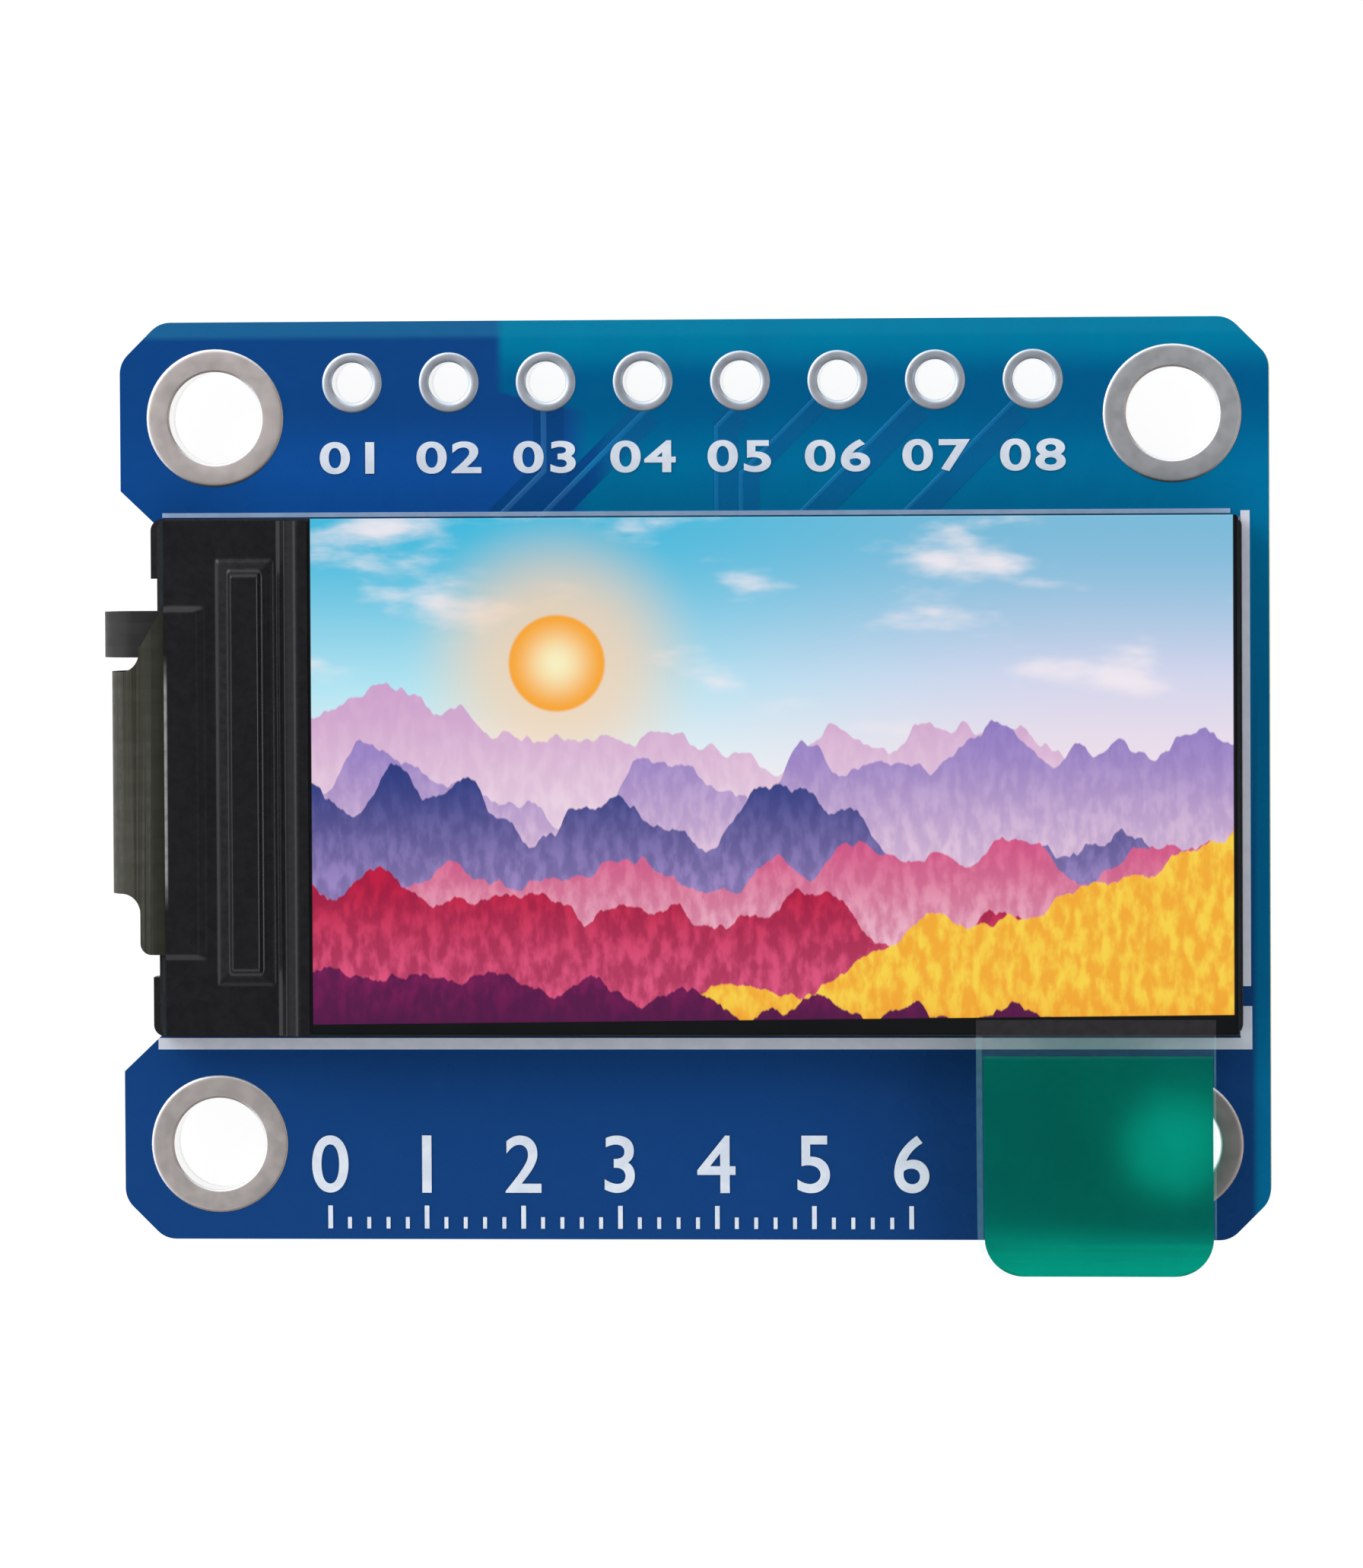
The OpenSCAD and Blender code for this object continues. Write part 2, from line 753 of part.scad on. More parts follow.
// Outline of one layer of the pull tab from above, up to its upper end, with round lower corners
module tab_outline(left, right, low, y1) {
    x0 = tab_x1 - tab_w + left;
    y0 = tab_y0 + low;
    w = tab_w - left - right;
    r = tab_corner_r - max(left, right, low) / 2;
    translate([x0, y0 + r])
        square([w, y1 - y0 - r]);
    translate([x0 + r, y0])
        square([w - 2 * r, 2 * r]);
    for (x = [x0 + r, x0 + w - r])
        translate([x, y0 + r])
            circle(r);
}

// Film that is flat over the panel and sags past its lower edge, seen from the side
module sag_profile(top, t) {
    translate([tab_bend_y, top - t])
        square([tab_y1 - tab_bend_y, t]);
    translate([tab_bend_y, tab_top - tab_sag_r])
        difference() {
            intersection() {
                circle(tab_sag_r - (tab_top - top));
                translate([tab_y0 - tab_bend_y - cut, 0])
                    square([tab_bend_y - tab_y0 + cut, tab_sag_r + cut]);
            }
            circle(tab_sag_r - (tab_top - top) - t);
        }
}

module sagging_film(top, t) {
    intersection() {
        along_x(tab_x1 - tab_w - cut, tab_x1 + cut)
            sag_profile(top, t);
        linear_extrude(tab_top + cut)
            children();
    }
}

module pull_tab() {
    color("#bcd6d2", 0.6)
        sagging_film(tab_top, tab_t)
            tab_outline(0, 0, 0, tab_y1);
}

module grip_film() {
    color("#0a9479", 0.85)
        sagging_film(film_top, grip_t)
            tab_outline(grip_left, grip_right, grip_low, grip_y1);
}

// Puts a part on a pad of the board's back face, with the part's own top facing down
module on_back(at) {
    translate([at.x, at.y, -copper_t])
        rotate([180, 0, 0])
            children();
}

// Side view of a moulded body: drafted sides and a straight band where the leads come out
module moulded_profile(w) {
    top = sot_standoff + sot_t;
    polygon([
        [-w / 2 + sot_draft, sot_standoff], [w / 2 - sot_draft, sot_standoff],
        [w / 2, lead_z - lead_t / 2], [w / 2, lead_z + lead_t / 2],
        [w / 2 - sot_draft, top], [-w / 2 + sot_draft, top],
        [-w / 2, lead_z + lead_t / 2], [-w / 2, lead_z - lead_t / 2]
    ]);
}

// Small moulded three-lead body
module sot_body() {
    intersection() {
        along_y(sot_w + cut)
            moulded_profile(sot_l);
        along_x(-sot_l / 2 - cut, sot_l / 2 + cut)
            moulded_profile(sot_w);
    }
}

// Places of the three leads: one on the near side and two on the far side
module at_leads() {
    for (spot = [[0, 0], [-lead_pitch, 180], [lead_pitch, 180]])
        translate([spot[0], 0, 0])
            rotate([0, 0, spot[1]])
                children();
}

// Gull-wing lead: a foot on the pad, a riser and a shank that meets the body
module sot_leads() {
    tip = lead_span / 2;
    heel = tip - lead_foot;
    at_leads()
        along_x(-lead_w / 2, lead_w / 2)
            polygon([
                [tip, 0], [tip, lead_t], [heel, lead_t], [heel, lead_z + lead_t / 2],
                [sot_w / 2, lead_z + lead_t / 2], [sot_w / 2, lead_z - lead_t / 2],
                [heel - lead_t, lead_z - lead_t / 2], [heel - lead_t, 0]
            ]);
}

module regulator_body() {
    color("#26262a")
        on_back(regulator_at)
            sot_body();
}

module regulator_leads() {
    color("#b8b8ba")
        on_back(regulator_at)
            sot_leads();
}

module transistor_body() {
    color("#26262a")
        on_back(transistor_at)
            sot_body();
}

module transistor_leads() {
    color("#b8b8ba")
        on_back(transistor_at)
            sot_leads();
}

// Block of a resistor or capacitor, raised by the skin of its metal ends
module chip_block(t) {
    translate([-chip_part_w / 2, -chip_part_l / 2 + end_skin, end_skin])
        cube([chip_part_w, chip_part_l - 2 * end_skin, t]);
}

// Metal caps over both ends of a block
module chip_caps(t) {
    cap_w = chip_part_w + 2 * end_skin;
    difference() {
        for (s = [-1, 1])
            translate([-cap_w / 2, s * (chip_part_l - end_l) / 2 - end_l / 2, 0])
                cube([cap_w, end_l, t + 2 * end_skin]);
        chip_block(t);
    }
}

module resistor(i) {
    color("#1c1c1e")
        on_back(resistors_at[i])
            chip_block(resistor_t);
}

module resistor_ends() {
    color("#c4c5c8")
        for (at = resistors_at)
            on_back(at)
                chip_caps(resistor_t);
}

module capacitor(i) {
    color("#b49a78")
        on_back(capacitors_at[i])
            chip_block(capacitor_t);
}

module capacitor_ends() {
    color("#c4c5c8")
        for (at = capacitors_at)
            on_back(at)
                chip_caps(capacitor_t);
}

// Ends of one resistor or capacitor
module at_chip_ends() {
    for (s = [0, 180])
        rotate([0, 0, s])
            translate([0, chip_part_l / 2, 0])
                children();
}

// Pad of one joint, from its inner edge to past its fillet
module joint_pad(w, inner) {
    translate([-w / 2 - pad_margin, -inner, -copper_t])
        cube([w + 2 * pad_margin, inner + joint_r + pad_margin, copper_t]);
}

// Hollow solder fillet against a face of the given height
module joint_fillet(w, h) {
    r = min(joint_r, h);
    along_x(-w / 2, w / 2)
        difference() {
            square(r);
            translate([r, r])
                circle(r);
        }
}

module component_pads() {
    color("#b5a36a") {
        for (at = concat(resistors_at, capacitors_at))
            on_back(at)
                at_chip_ends()
                    joint_pad(chip_part_w, end_l);
        for (at = [regulator_at, transistor_at])
            on_back(at)
                at_leads()
                    translate([0, lead_span / 2, 0])
                        joint_pad(lead_w, lead_foot + lead_t);
    }
}

module component_solder() {
    color("#b9babd") {
        for (at = concat(resistors_at, capacitors_at))
            on_back(at)
                at_chip_ends()
                    joint_fillet(chip_part_w, resistor_t);
        for (at = [regulator_at, transistor_at])
            on_back(at)
                at_leads()
                    translate([0, lead_span / 2, 0])
                        joint_fillet(lead_w, lead_t);
    }
}

board();
mounting_pads();
header_pads();
flex_pads();
flex_solder();
on_panel() foam_tape();
on_panel() backlight_frame();
on_panel() reflector_film();
on_panel() light_guide();
backlight_flex();
backlight_leds();
on_panel() diffuser_film();
on_panel() prism_film_lower();
on_panel() prism_film_upper();
on_panel() rim_tape();
tail_solder();
on_panel() rear_polariser();
on_panel() tft_glass();
on_panel() colour_filter_glass();
on_panel() front_polariser();
on_panel() protective_film();
on_panel() driver_chip();
on_panel() driver_tape();
flex_cable();
on_panel() pull_tab();
on_panel() grip_film();
regulator_body();
regulator_leads();
transistor_body();
transistor_leads();
for (i = [0:len(resistors_at) - 1])
    resistor(i);
resistor_ends();
for (i = [0:len(capacitors_at) - 1])
    capacitor(i);
capacitor_ends();
component_pads();
component_solder();
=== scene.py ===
"""Looks of a small colour display module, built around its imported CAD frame.

Sizes are millimetres in the part's own frame: X runs along the board, Y towards the header row and
Z out of the screen. Blender works in metres, and MM turns the one into the other. A colour is a
six-digit code of red, green and blue, and a band is the two ends of a range.
"""

import json
import logging
import math
from abc import ABC, abstractmethod
from collections.abc import Callable, Iterator, Sequence
from contextlib import contextmanager
from dataclasses import dataclass
from enum import Enum

import bmesh
import bpy
from mathutils import Matrix, Vector

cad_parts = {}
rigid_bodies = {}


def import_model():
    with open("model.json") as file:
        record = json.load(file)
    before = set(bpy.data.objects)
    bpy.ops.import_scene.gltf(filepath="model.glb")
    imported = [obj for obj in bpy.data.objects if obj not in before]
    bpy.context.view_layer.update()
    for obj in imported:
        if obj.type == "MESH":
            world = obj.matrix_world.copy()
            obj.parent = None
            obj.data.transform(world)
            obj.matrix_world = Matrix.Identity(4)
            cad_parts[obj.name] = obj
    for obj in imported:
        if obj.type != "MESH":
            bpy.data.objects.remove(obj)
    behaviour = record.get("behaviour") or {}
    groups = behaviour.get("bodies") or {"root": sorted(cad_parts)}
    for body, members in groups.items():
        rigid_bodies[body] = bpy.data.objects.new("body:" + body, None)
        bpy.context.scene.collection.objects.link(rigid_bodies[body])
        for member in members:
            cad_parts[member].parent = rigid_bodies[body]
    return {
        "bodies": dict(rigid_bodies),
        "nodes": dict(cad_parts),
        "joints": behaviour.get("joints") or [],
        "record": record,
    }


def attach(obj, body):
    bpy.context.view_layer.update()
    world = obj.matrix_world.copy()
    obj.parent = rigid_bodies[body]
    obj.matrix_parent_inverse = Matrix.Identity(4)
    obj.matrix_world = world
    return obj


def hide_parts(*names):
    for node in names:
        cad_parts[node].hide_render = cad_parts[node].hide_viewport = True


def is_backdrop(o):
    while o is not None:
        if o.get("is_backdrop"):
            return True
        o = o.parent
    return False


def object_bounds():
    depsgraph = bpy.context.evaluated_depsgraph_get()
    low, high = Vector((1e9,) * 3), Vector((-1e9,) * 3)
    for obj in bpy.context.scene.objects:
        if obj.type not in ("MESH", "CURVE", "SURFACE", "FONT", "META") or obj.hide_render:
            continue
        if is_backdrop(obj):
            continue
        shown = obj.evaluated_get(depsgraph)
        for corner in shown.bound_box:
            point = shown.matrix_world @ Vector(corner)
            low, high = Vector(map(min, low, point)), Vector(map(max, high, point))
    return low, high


LOG = logging.getLogger("display_module")
MM = 0.001
WELD = 1e-7
BODY = "root"
WHITE = "ffffff"
BLACK = "000000"

Colour = str
Point = tuple[float, float]
Band = tuple[float, float]
Place = tuple[float, float, float]
Socket = bpy.types.NodeSocket
Term = Socket | Sequence[float] | float | Colour
Piece = bpy.types.Object


class Slot(Enum):
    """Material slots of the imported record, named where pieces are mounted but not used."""

    BOARD = "board"
    TINNED_COPPER = "tinned_copper"
    FRAME = "frame"
    STRIP = "strip"
    BLACK_TAPE = "black_tape"
    POLARISER = "polariser"
    CLEAR_FILM = "clear_film"
    FLEX = "flex"
    CLEAR_TAPE = "clear_tape"
    GREEN_FILM = "green_film"


def linear(code: Colour) -> tuple[float, float, float, float]:
    """Turns a colour's code into the linear colour that nodes take.

    Args:
        code: Red, green and blue as two hexadecimal digits each.

    Returns:
        The linear colour, with full alpha.
    """
    parts = (int(code[i : i + 2], 16) / 255 for i in (0, 2, 4))
    red, green, blue = (p / 12.92 if p <= 0.04045 else ((p + 0.055) / 1.055) ** 2.4 for p in parts)
    return (red, green, blue, 1.0)


class Nodes:
    """Node tree whose sockets take outputs, numbers, vectors or colours."""

    def __init__(self, tree: bpy.types.NodeTree) -> None:
        """Takes the tree of a material or of the world."""
        self.tree = tree

    def add(self, kind: str, terms: dict[int | str, Term] | None = None, **options: str) -> bpy.types.Node:
        """Adds a node and feeds its sockets.

        Args:
            kind: Name of the node's type.
            terms: What each socket is fed with, by the socket's name or number.
            **options: The node's own options.

        Returns:
            The new node.
        """
        node = self.tree.nodes.new(kind)
        for name, option in options.items():
            setattr(node, name, option)
        for key, term in (terms or {}).items():
            self.feed(node.inputs[key], term)
        return node

    def feed(self, socket: Socket, term: Term) -> None:
        """Links a socket to a node's output, or sets its own value.

        Args:
            socket: The socket.
            term: What it is fed with.
        """
        if isinstance(term, Socket):
            self.tree.links.new(term, socket)
        else:
            socket.default_value = linear(term) if isinstance(term, str) else term

    def split(self, vector: Socket) -> Sequence[Socket]:
        """Splits a vector into its three parts."""
        return self.add("ShaderNodeSeparateXYZ", {0: vector}).outputs

    def math(self, work: str, *terms: Term) -> Socket:
        """Adds a Math node that does the named work on its terms."""
        return self.add("ShaderNodeMath", dict(enumerate(terms)), operation=work).outputs[0]

    def product(self, first: Term, *others: Term) -> Term:
        """Multiplies several terms.

        Args:
            first: The first term.
            *others: The other terms.

        Returns:
            Their product.
        """
        for other in others:
            first = self.math("MULTIPLY", first, other)
        return first

    def distance(self, value: Term, middle: float) -> Socket:
        """Distance of a value from a middle, to either side."""
        return self.math("ABSOLUTE", self.math("SUBTRACT", value, middle))

    def fade(self, value: Term, start: Term, end: Term, low: Term = 0.0, high: Term = 1.0) -> Socket:
        """Maps a value smoothly from one range to another.

        Args:
            value: What is mapped.
            start: Value that gives low.
            end: Value that gives high.
            low: Result at the start.
            high: Result at the end.

        Returns:
            The mapped value, held at the two ends.
        """
        terms = {"Value": value, "From Min": start, "From Max": end, "To Min": low, "To Max": high}
        return self.add("ShaderNodeMapRange", terms, interpolation_type="SMOOTHSTEP").outputs["Result"]


class Graph(Nodes):
    """Nodes of one material, read in millimetres of the part's own frame."""

    def __init__(self, name: str) -> None:
        """Makes the material with one Principled shader.

        Args:
            name: Name of the material.
        """
        self.material = bpy.data.materials.new(name)
        self.material.use_nodes = True
        super().__init__(self.material.node_tree)
        self.tree.nodes.clear()
        self.shader = self.add("ShaderNodeBsdfPrincipled")
        self.output = self.add("ShaderNodeOutputMaterial", {"Surface": self.shader.outputs["BSDF"]})
        metres = self.add("ShaderNodeTexCoord").outputs["Object"]
        terms = {"Vector": metres, "Scale": (1 / MM,) * 3}
        self.place = self.add("ShaderNodeMapping", terms).outputs["Vector"]
        self.x, self.y = self.split(self.place)[:2]

    def set(self, **terms: Term) -> None:
        """Feeds the shader's sockets, with their names written with underscores."""
        for name, term in terms.items():
            self.feed(self.shader.inputs[name.replace("_", " ")], term)

    def mix(self, share: Term, first: Term, second: Term) -> Socket:
        """Mixes two colours, with the given share of the second one."""
        return self.add("ShaderNodeMix", {0: share, 6: first, 7: second}, data_type="RGBA").outputs[2]

    def stretch(self, factors: Place) -> Socket:
        """The place in millimetres, scaled along each axis."""
        return self.add("ShaderNodeVectorMath", {0: self.place, 1: factors}, operation="MULTIPLY").outputs[0]

    def normal(self) -> Sequence[Socket]:
        """The three parts of the way that the surface faces."""
        return self.split(self.add("ShaderNodeNewGeometry").outputs["True Normal"])

    def noise(self, scale: float, detail: float = 2.0, vector: Socket | None = None) -> Socket:
        """Adds a noise texture.

        Args:
            scale: Features per millimetre.
            detail: Number of finer layers.
            vector: Where it is read, if not at the plain place.

        Returns:
            The noise, from 0 to 1.
        """
        terms = {"Vector": vector or self.place, "Scale": scale, "Detail": detail}
        return self.add("ShaderNodeTexNoise", terms).outputs[0]

    def skyline(self, along: Socket, detail: float) -> Socket:
        """Noise along one line, for the outline of a range of hills."""
        terms = {"W": along, "Scale": 1.0, "Detail": detail}
        return self.add("ShaderNodeTexNoise", terms, noise_dimensions="1D").outputs[0]

    def mottled(self, first: Colour, second: Colour, scale: float, vector: Socket | None = None) -> Socket:
        """Two colours in soft mottles, so many per millimetre."""
        return self.mix(self.fade(self.noise(scale, 3.0, vector), 0.35, 0.65), first, second)

    def uneven(self, scale: float, ends: Band, detail: float = 2.0, vector: Socket | None = None) -> Socket:
        """A value that wanders between two ends, with so many features per millimetre."""
        return self.fade(self.noise(scale, detail, vector), 0.3, 0.7, *ends)

    def ramp(self, value: Socket, stops: Sequence[tuple[float, Colour]]) -> Socket:
        """Adds a colour ramp.

        Args:
            value: Place on the ramp, from 0 to 1.
            stops: Places on the ramp and their colours.

        Returns:
            The colour.
        """
        node = self.add("ShaderNodeValToRGB", {0: value})
        elements = node.color_ramp.elements
        while len(elements) < len(stops):
            elements.new(1.0)
        for element, (position, colour) in zip(elements, stops):
            element.position = position
            element.color = linear(colour)
        return node.outputs["Color"]

    def bump(self, height: Socket, depth: float) -> None:
        """Gives the shader a relief, whose height of 1 stands for a depth in millimetres."""
        node = self.add("ShaderNodeBump", {"Distance": depth * MM, "Height": height})
        self.set(Normal=node.outputs["Normal"])


@dataclass(frozen=True)
class Finish(ABC):
    """Finish of one or more pieces.

    Attributes:
        name: Name of the material.
    """

    name: str

    @abstractmethod
    def dress(self, graph: Graph) -> None:
        """Feeds the material's shader.

        Args:
            graph: Nodes of the material.
        """

    def material(self) -> bpy.types.Material:
        """Makes the material.

        Returns:
            The new material.
        """
        graph = Graph(self.name)
        self.dress(graph)
        return graph.material


@dataclass(frozen=True)
class SurfaceFinish(Finish):
    """Plain finish with mottled colour, uneven gloss and a fine relief.

    Attributes:
        tint: Main colour.
        shade: Colour of the mottling.
        grain: Mottles per millimetre.
        gloss: Lowest and highest roughness.
        relief: Height of the relief in millimetres.
        relief_grain: Features of the relief per millimetre.
        metal: Metallic share.
        alpha: Share of what the surface hides.
        glass: Share that passes through the surface.
        bend: Index of refraction.
        shine: Level of its mirror reflection.
        cast: Colour of its mirror reflection.
        stretch: Scale of the pattern along each axis.
    """

    tint: Colour
    shade: Colour
    grain: float = 2.0
    gloss: Band = (0.4, 0.5)
    relief: float = 0.002
    relief_grain: float = 12.0
    metal: float = 0.0
    alpha: float = 1.0
    glass: float = 0.0
    bend: float = 1.5
    shine: float = 0.5
    cast: Colour = WHITE
    stretch: Place = (1.0, 1.0, 1.0)

    def dress(self, graph: Graph) -> None:
        """Feeds the material's shader.

        Args:
            graph: Nodes of the material.
        """
        at = graph.stretch(self.stretch)
        graph.set(
            Base_Color=graph.mottled(self.tint, self.shade, self.grain, at),
            Roughness=graph.uneven(self.grain * 3.1, self.gloss, vector=at),
            Metallic=self.metal,
            Alpha=self.alpha,
            Transmission_Weight=self.glass,
            IOR=self.bend,
            Specular_IOR_Level=self.shine,
            Specular_Tint=self.cast,
        )
        graph.bump(graph.noise(self.relief_grain, 4.0, at), self.relief)


@dataclass(frozen=True)
class MaskFinish(Finish):
    """Blue solder mask over copper, paler along two rims, with bare laminate at the board's edges; its
    colours are partly the copper under it and partly a painted reflection of a broad soft light, teal at the
    upper right and navy at the bottom, and the paler rim along the top edge is a painted highlight.

    Attributes:
        left: Mask colour beside the header's left end.
        left_foot: Mask colour below that end.
        right: Mask colour beside the header's right end.
        right_foot: Mask colour below that end.
        crest: Mask colour above that end.
        pour_top: Left edge of the copper above the header's middle line.
        pour_low: Left edge of the copper below that line.
        low_left: Mask colour at the lower left.
        low_right: Mask colour at the lower right.
        rim: Colour of a painted highlight along the board's top edge, above the copper's upper edge.
        gleam: Colour of the mask's mirror reflection.
        copper_y: Upper edge of the copper.
        copper_x: Right edge of the copper.
        copper_blur: Half of the width in which those edges show.
        foot_band: Heights on the board between which the foot's colour comes in.
        corner_band: Places along X between which it comes in at the left corner.
        crest_band: Heights between which the crest's colour comes in.
        step_band: Heights between which the copper's left edge steps aside.
        low_band: Places along X between which the lower colour changes.
        middle_band: Heights between which the lower colour gives way to the upper one.
        threads: Turns of the laminate's weave per millimetre, in radians.
        resin: Colour of the laminate.
        ply: Colour of its glass plies.
    """

    left: Colour = "0e407f"
    left_foot: Colour = "104f9d"
    right: Colour = "005887"
    right_foot: Colour = "00709e"
    crest: Colour = "00769c"
    pour_top: float = -5.05
    pour_low: float = -3.3
    low_left: Colour = "143f7b"
    low_right: Colour = "143a71"
    rim: Colour = "46bedc"
    gleam: Colour = "86e4ff"
    copper_y: float = 11.58
    copper_x: float = 14.6
    copper_blur: float = 0.12
    foot_band: Band = (9.9, 7.9)
    corner_band: Band = (-13.6, -10.6)
    crest_band: Band = (10.4, 11.5)
    step_band: Band = (10.2, 9.6)
    low_band: Band = (1.0, 8.0)
    middle_band: Band = (-8.0, 7.5)
    threads: float = 12.6
    resin: Colour = "a8a878"
    ply: Colour = "cfcda6"

    def header(self, graph: Graph, pour: Socket) -> Socket:
        """Colour of the mask around the header.

        Args:
            graph: Nodes of the material.
            pour: Share of copper under the mask.

        Returns:
            The colour.
        """
        # Painted reflection: the lighter foot and crest colours stand in for a broad soft light; the change
        # from left to right follows the copper.
        foot = graph.fade(graph.y, *self.foot_band)
        near = graph.product(foot, graph.fade(graph.x, *self.corner_band, 0.3, 1.0))
        left = graph.mix(near, self.left, self.left_foot)
        right = graph.mix(foot, self.right, self.right_foot)
        right = graph.mix(graph.fade(graph.y, *self.crest_band), right, self.crest)
        return graph.mix(pour, left, right)

    def mask(self, graph: Graph) -> Socket:
        """Colour of the mask over the whole board.

        Args:
            graph: Nodes of the material.

        Returns:
            The colour.
        """
        edge = graph.fade(graph.y, *self.step_band, self.pour_top, self.pour_low)
        blur = graph.fade(graph.y, *self.step_band, 0.2, 0.7)
        pour = graph.fade(graph.math("SUBTRACT", graph.x, edge), -self.copper_blur, blur)
        # Painted reflection of a broad soft light: navy lower colours, teal upper ones, and teal in the strip
        # right of the copper.
        lower = graph.mix(graph.fade(graph.x, *self.low_band), self.low_left, self.low_right)
        bare = (self.copper_x - self.copper_blur, self.copper_x + self.copper_blur)
        beside = graph.fade(graph.x, *bare, 0.0, 0.8)
        upper = graph.math("MAXIMUM", graph.fade(graph.y, *self.middle_band), beside)
        mask = graph.mix(upper, lower, self.header(graph, pour))
        mask = graph.mix(graph.fade(graph.noise(0.9, 4.0), 0.3, 0.75, 0.0, 0.1), mask, self.low_left)
        # Painted highlight along the board's top edge.
        above = graph.fade(graph.y, self.copper_y - 0.1, self.copper_y + 0.1)
        return graph.mix(graph.product(above, graph.fade(pour, 0.0, 1.0, 0.13, 0.05)), mask, self.rim)

    def dress(self, graph: Graph) -> None:
        """Feeds the material's shader.

        Args:
            graph: Nodes of the material.
        """
        plies = graph.noise(1.0, 3.0, graph.stretch((1.5, 1.5, 16.0)))
        laminate = graph.mix(graph.fade(plies, 0.4, 0.6), self.resin, self.ply)
        side = graph.fade(graph.math("ABSOLUTE", graph.normal()[2]), 0.7, 0.3)
        waves = [graph.math("SINE", graph.product(place, self.threads)) for place in (graph.x, graph.y)]
        graph.set(
            Base_Color=graph.mix(side, self.mask(graph), laminate),
            Roughness=graph.fade(graph.math("ADD", graph.noise(2.0), side), 0.3, 1.4, 0.24, 0.7),
            Specular_IOR_Level=0.2,
            Specular_Tint=self.gleam,
        )
        graph.bump(graph.math("MULTIPLY_ADD", graph.product(*waves), 0.08, graph.noise(7.0, 3.0)), 0.0015)


@dataclass(frozen=True)
class TinFinish(Finish):
    """Tinned copper, satin on its flat rings and bright in its holes, with painted light: rims painted
    lighter or darker by the way they face, and rings at the right in painted shade.

    Attributes:
        face: Colour of the rings.
        stain: Colour of their faint mottling.
        cool: Painted shade that the rings at the upper right take, bluish grey.
        dull: Painted shade that the rings at the lower right take.
        bright: Painted highlight on the rims that face the upper left.
        dim: Painted shade on the rims that face the lower right.
        wall: Colour of the holes' walls.
        age_x: Band along X in which the painted shade comes in.
        age_y: Band along Y in which it turns from the upper shade to the lower one.
    """

    face: Colour
    stain: Colour
    cool: Colour
    dull: Colour
    bright: Colour
    dim: Colour
    wall: Colour
    age_x: Band = (4.0, 13.0)
    age_y: Band = (2.0, -9.0)

    def dress(self, graph: Graph) -> None:
        """Feeds the material's shader.

        Args:
            graph: Nodes of the material.
        """
        right, up, out = graph.normal()
        level = graph.math("ABSOLUTE", out)
        wall = graph.fade(level, 0.5, 0.2)
        # Painted light: rims that face the upper left are painted lighter, those that face the lower right
        # darker.
        rim = graph.mix(graph.fade(graph.math("SUBTRACT", up, right), -0.3, 0.3), self.dim, self.bright)
        # Painted shade: rings at the right are painted darker, most at the lower right.
        shaded_rings = graph.mix(graph.fade(graph.y, *self.age_y), self.cool, self.dull)
        face = graph.mix(graph.fade(graph.x, *self.age_x), graph.mottled(self.face, self.stain, 0.8), shaded_rings)
        face = graph.mix(graph.fade(level, 0.995, 0.95), face, rim)
        graph.set(
            Base_Color=graph.mix(wall, face, self.wall),
            Roughness=graph.product(graph.uneven(2.5, (0.46, 0.52)), graph.fade(wall, 0.0, 1.0, 1.0, 0.5)),
            Metallic=1.0,
        )
        graph.bump(graph.noise(6.0, 4.0), 0.001)


@dataclass(frozen=True)
class DrapeFinish(Finish):
    """Black tape with a satin face, with a painted grey highlight along its left edge and a paler painted
    highlight where it bends down at its right lip.

    Attributes:
        tint: Main colour.
        shade: Colour of the mottling.
        worn: Colour of the painted highlight along the left edge.
        edge: Place of the highlighted edge along X.
        reach: Half of the highlight's length along that edge.
        lip: Place along X where the tape bends down to the screen.
    """

    tint: Colour
    shade: Colour
    worn: Colour
    edge: float
    reach: float
    lip: float

    def dress(self, graph: Graph) -> None:
        """Feeds the material's shader.

        Args:
            graph: Nodes of the material.
        """
        # Painted highlight: a grey line along the tape's left edge, broken up by noise.
        near = graph.product(
            graph.fade(graph.x, self.edge + 0.1, self.edge + 0.05),
            graph.fade(graph.math("ABSOLUTE", graph.y), self.reach, self.reach - 1.2),
            graph.fade(graph.noise(3.0, 3.0), 0.3, 0.6, 0.7, 1.0),
        )
        # Painted highlight along the bend at the right lip.
        bend = graph.fade(graph.distance(graph.x, self.lip), 0.22, 0.06, 0.0, 0.06)
        black = graph.mottled(self.tint, self.shade, 2.5)
        graph.set(
            Base_Color=graph.mix(graph.math("MAXIMUM", near, bend), black, self.worn),
            Roughness=graph.uneven(6.0, (0.24, 0.3)),
            Specular_IOR_Level=0.4,
        )
        graph.bump(graph.noise(5.0, 3.0), 0.0012)


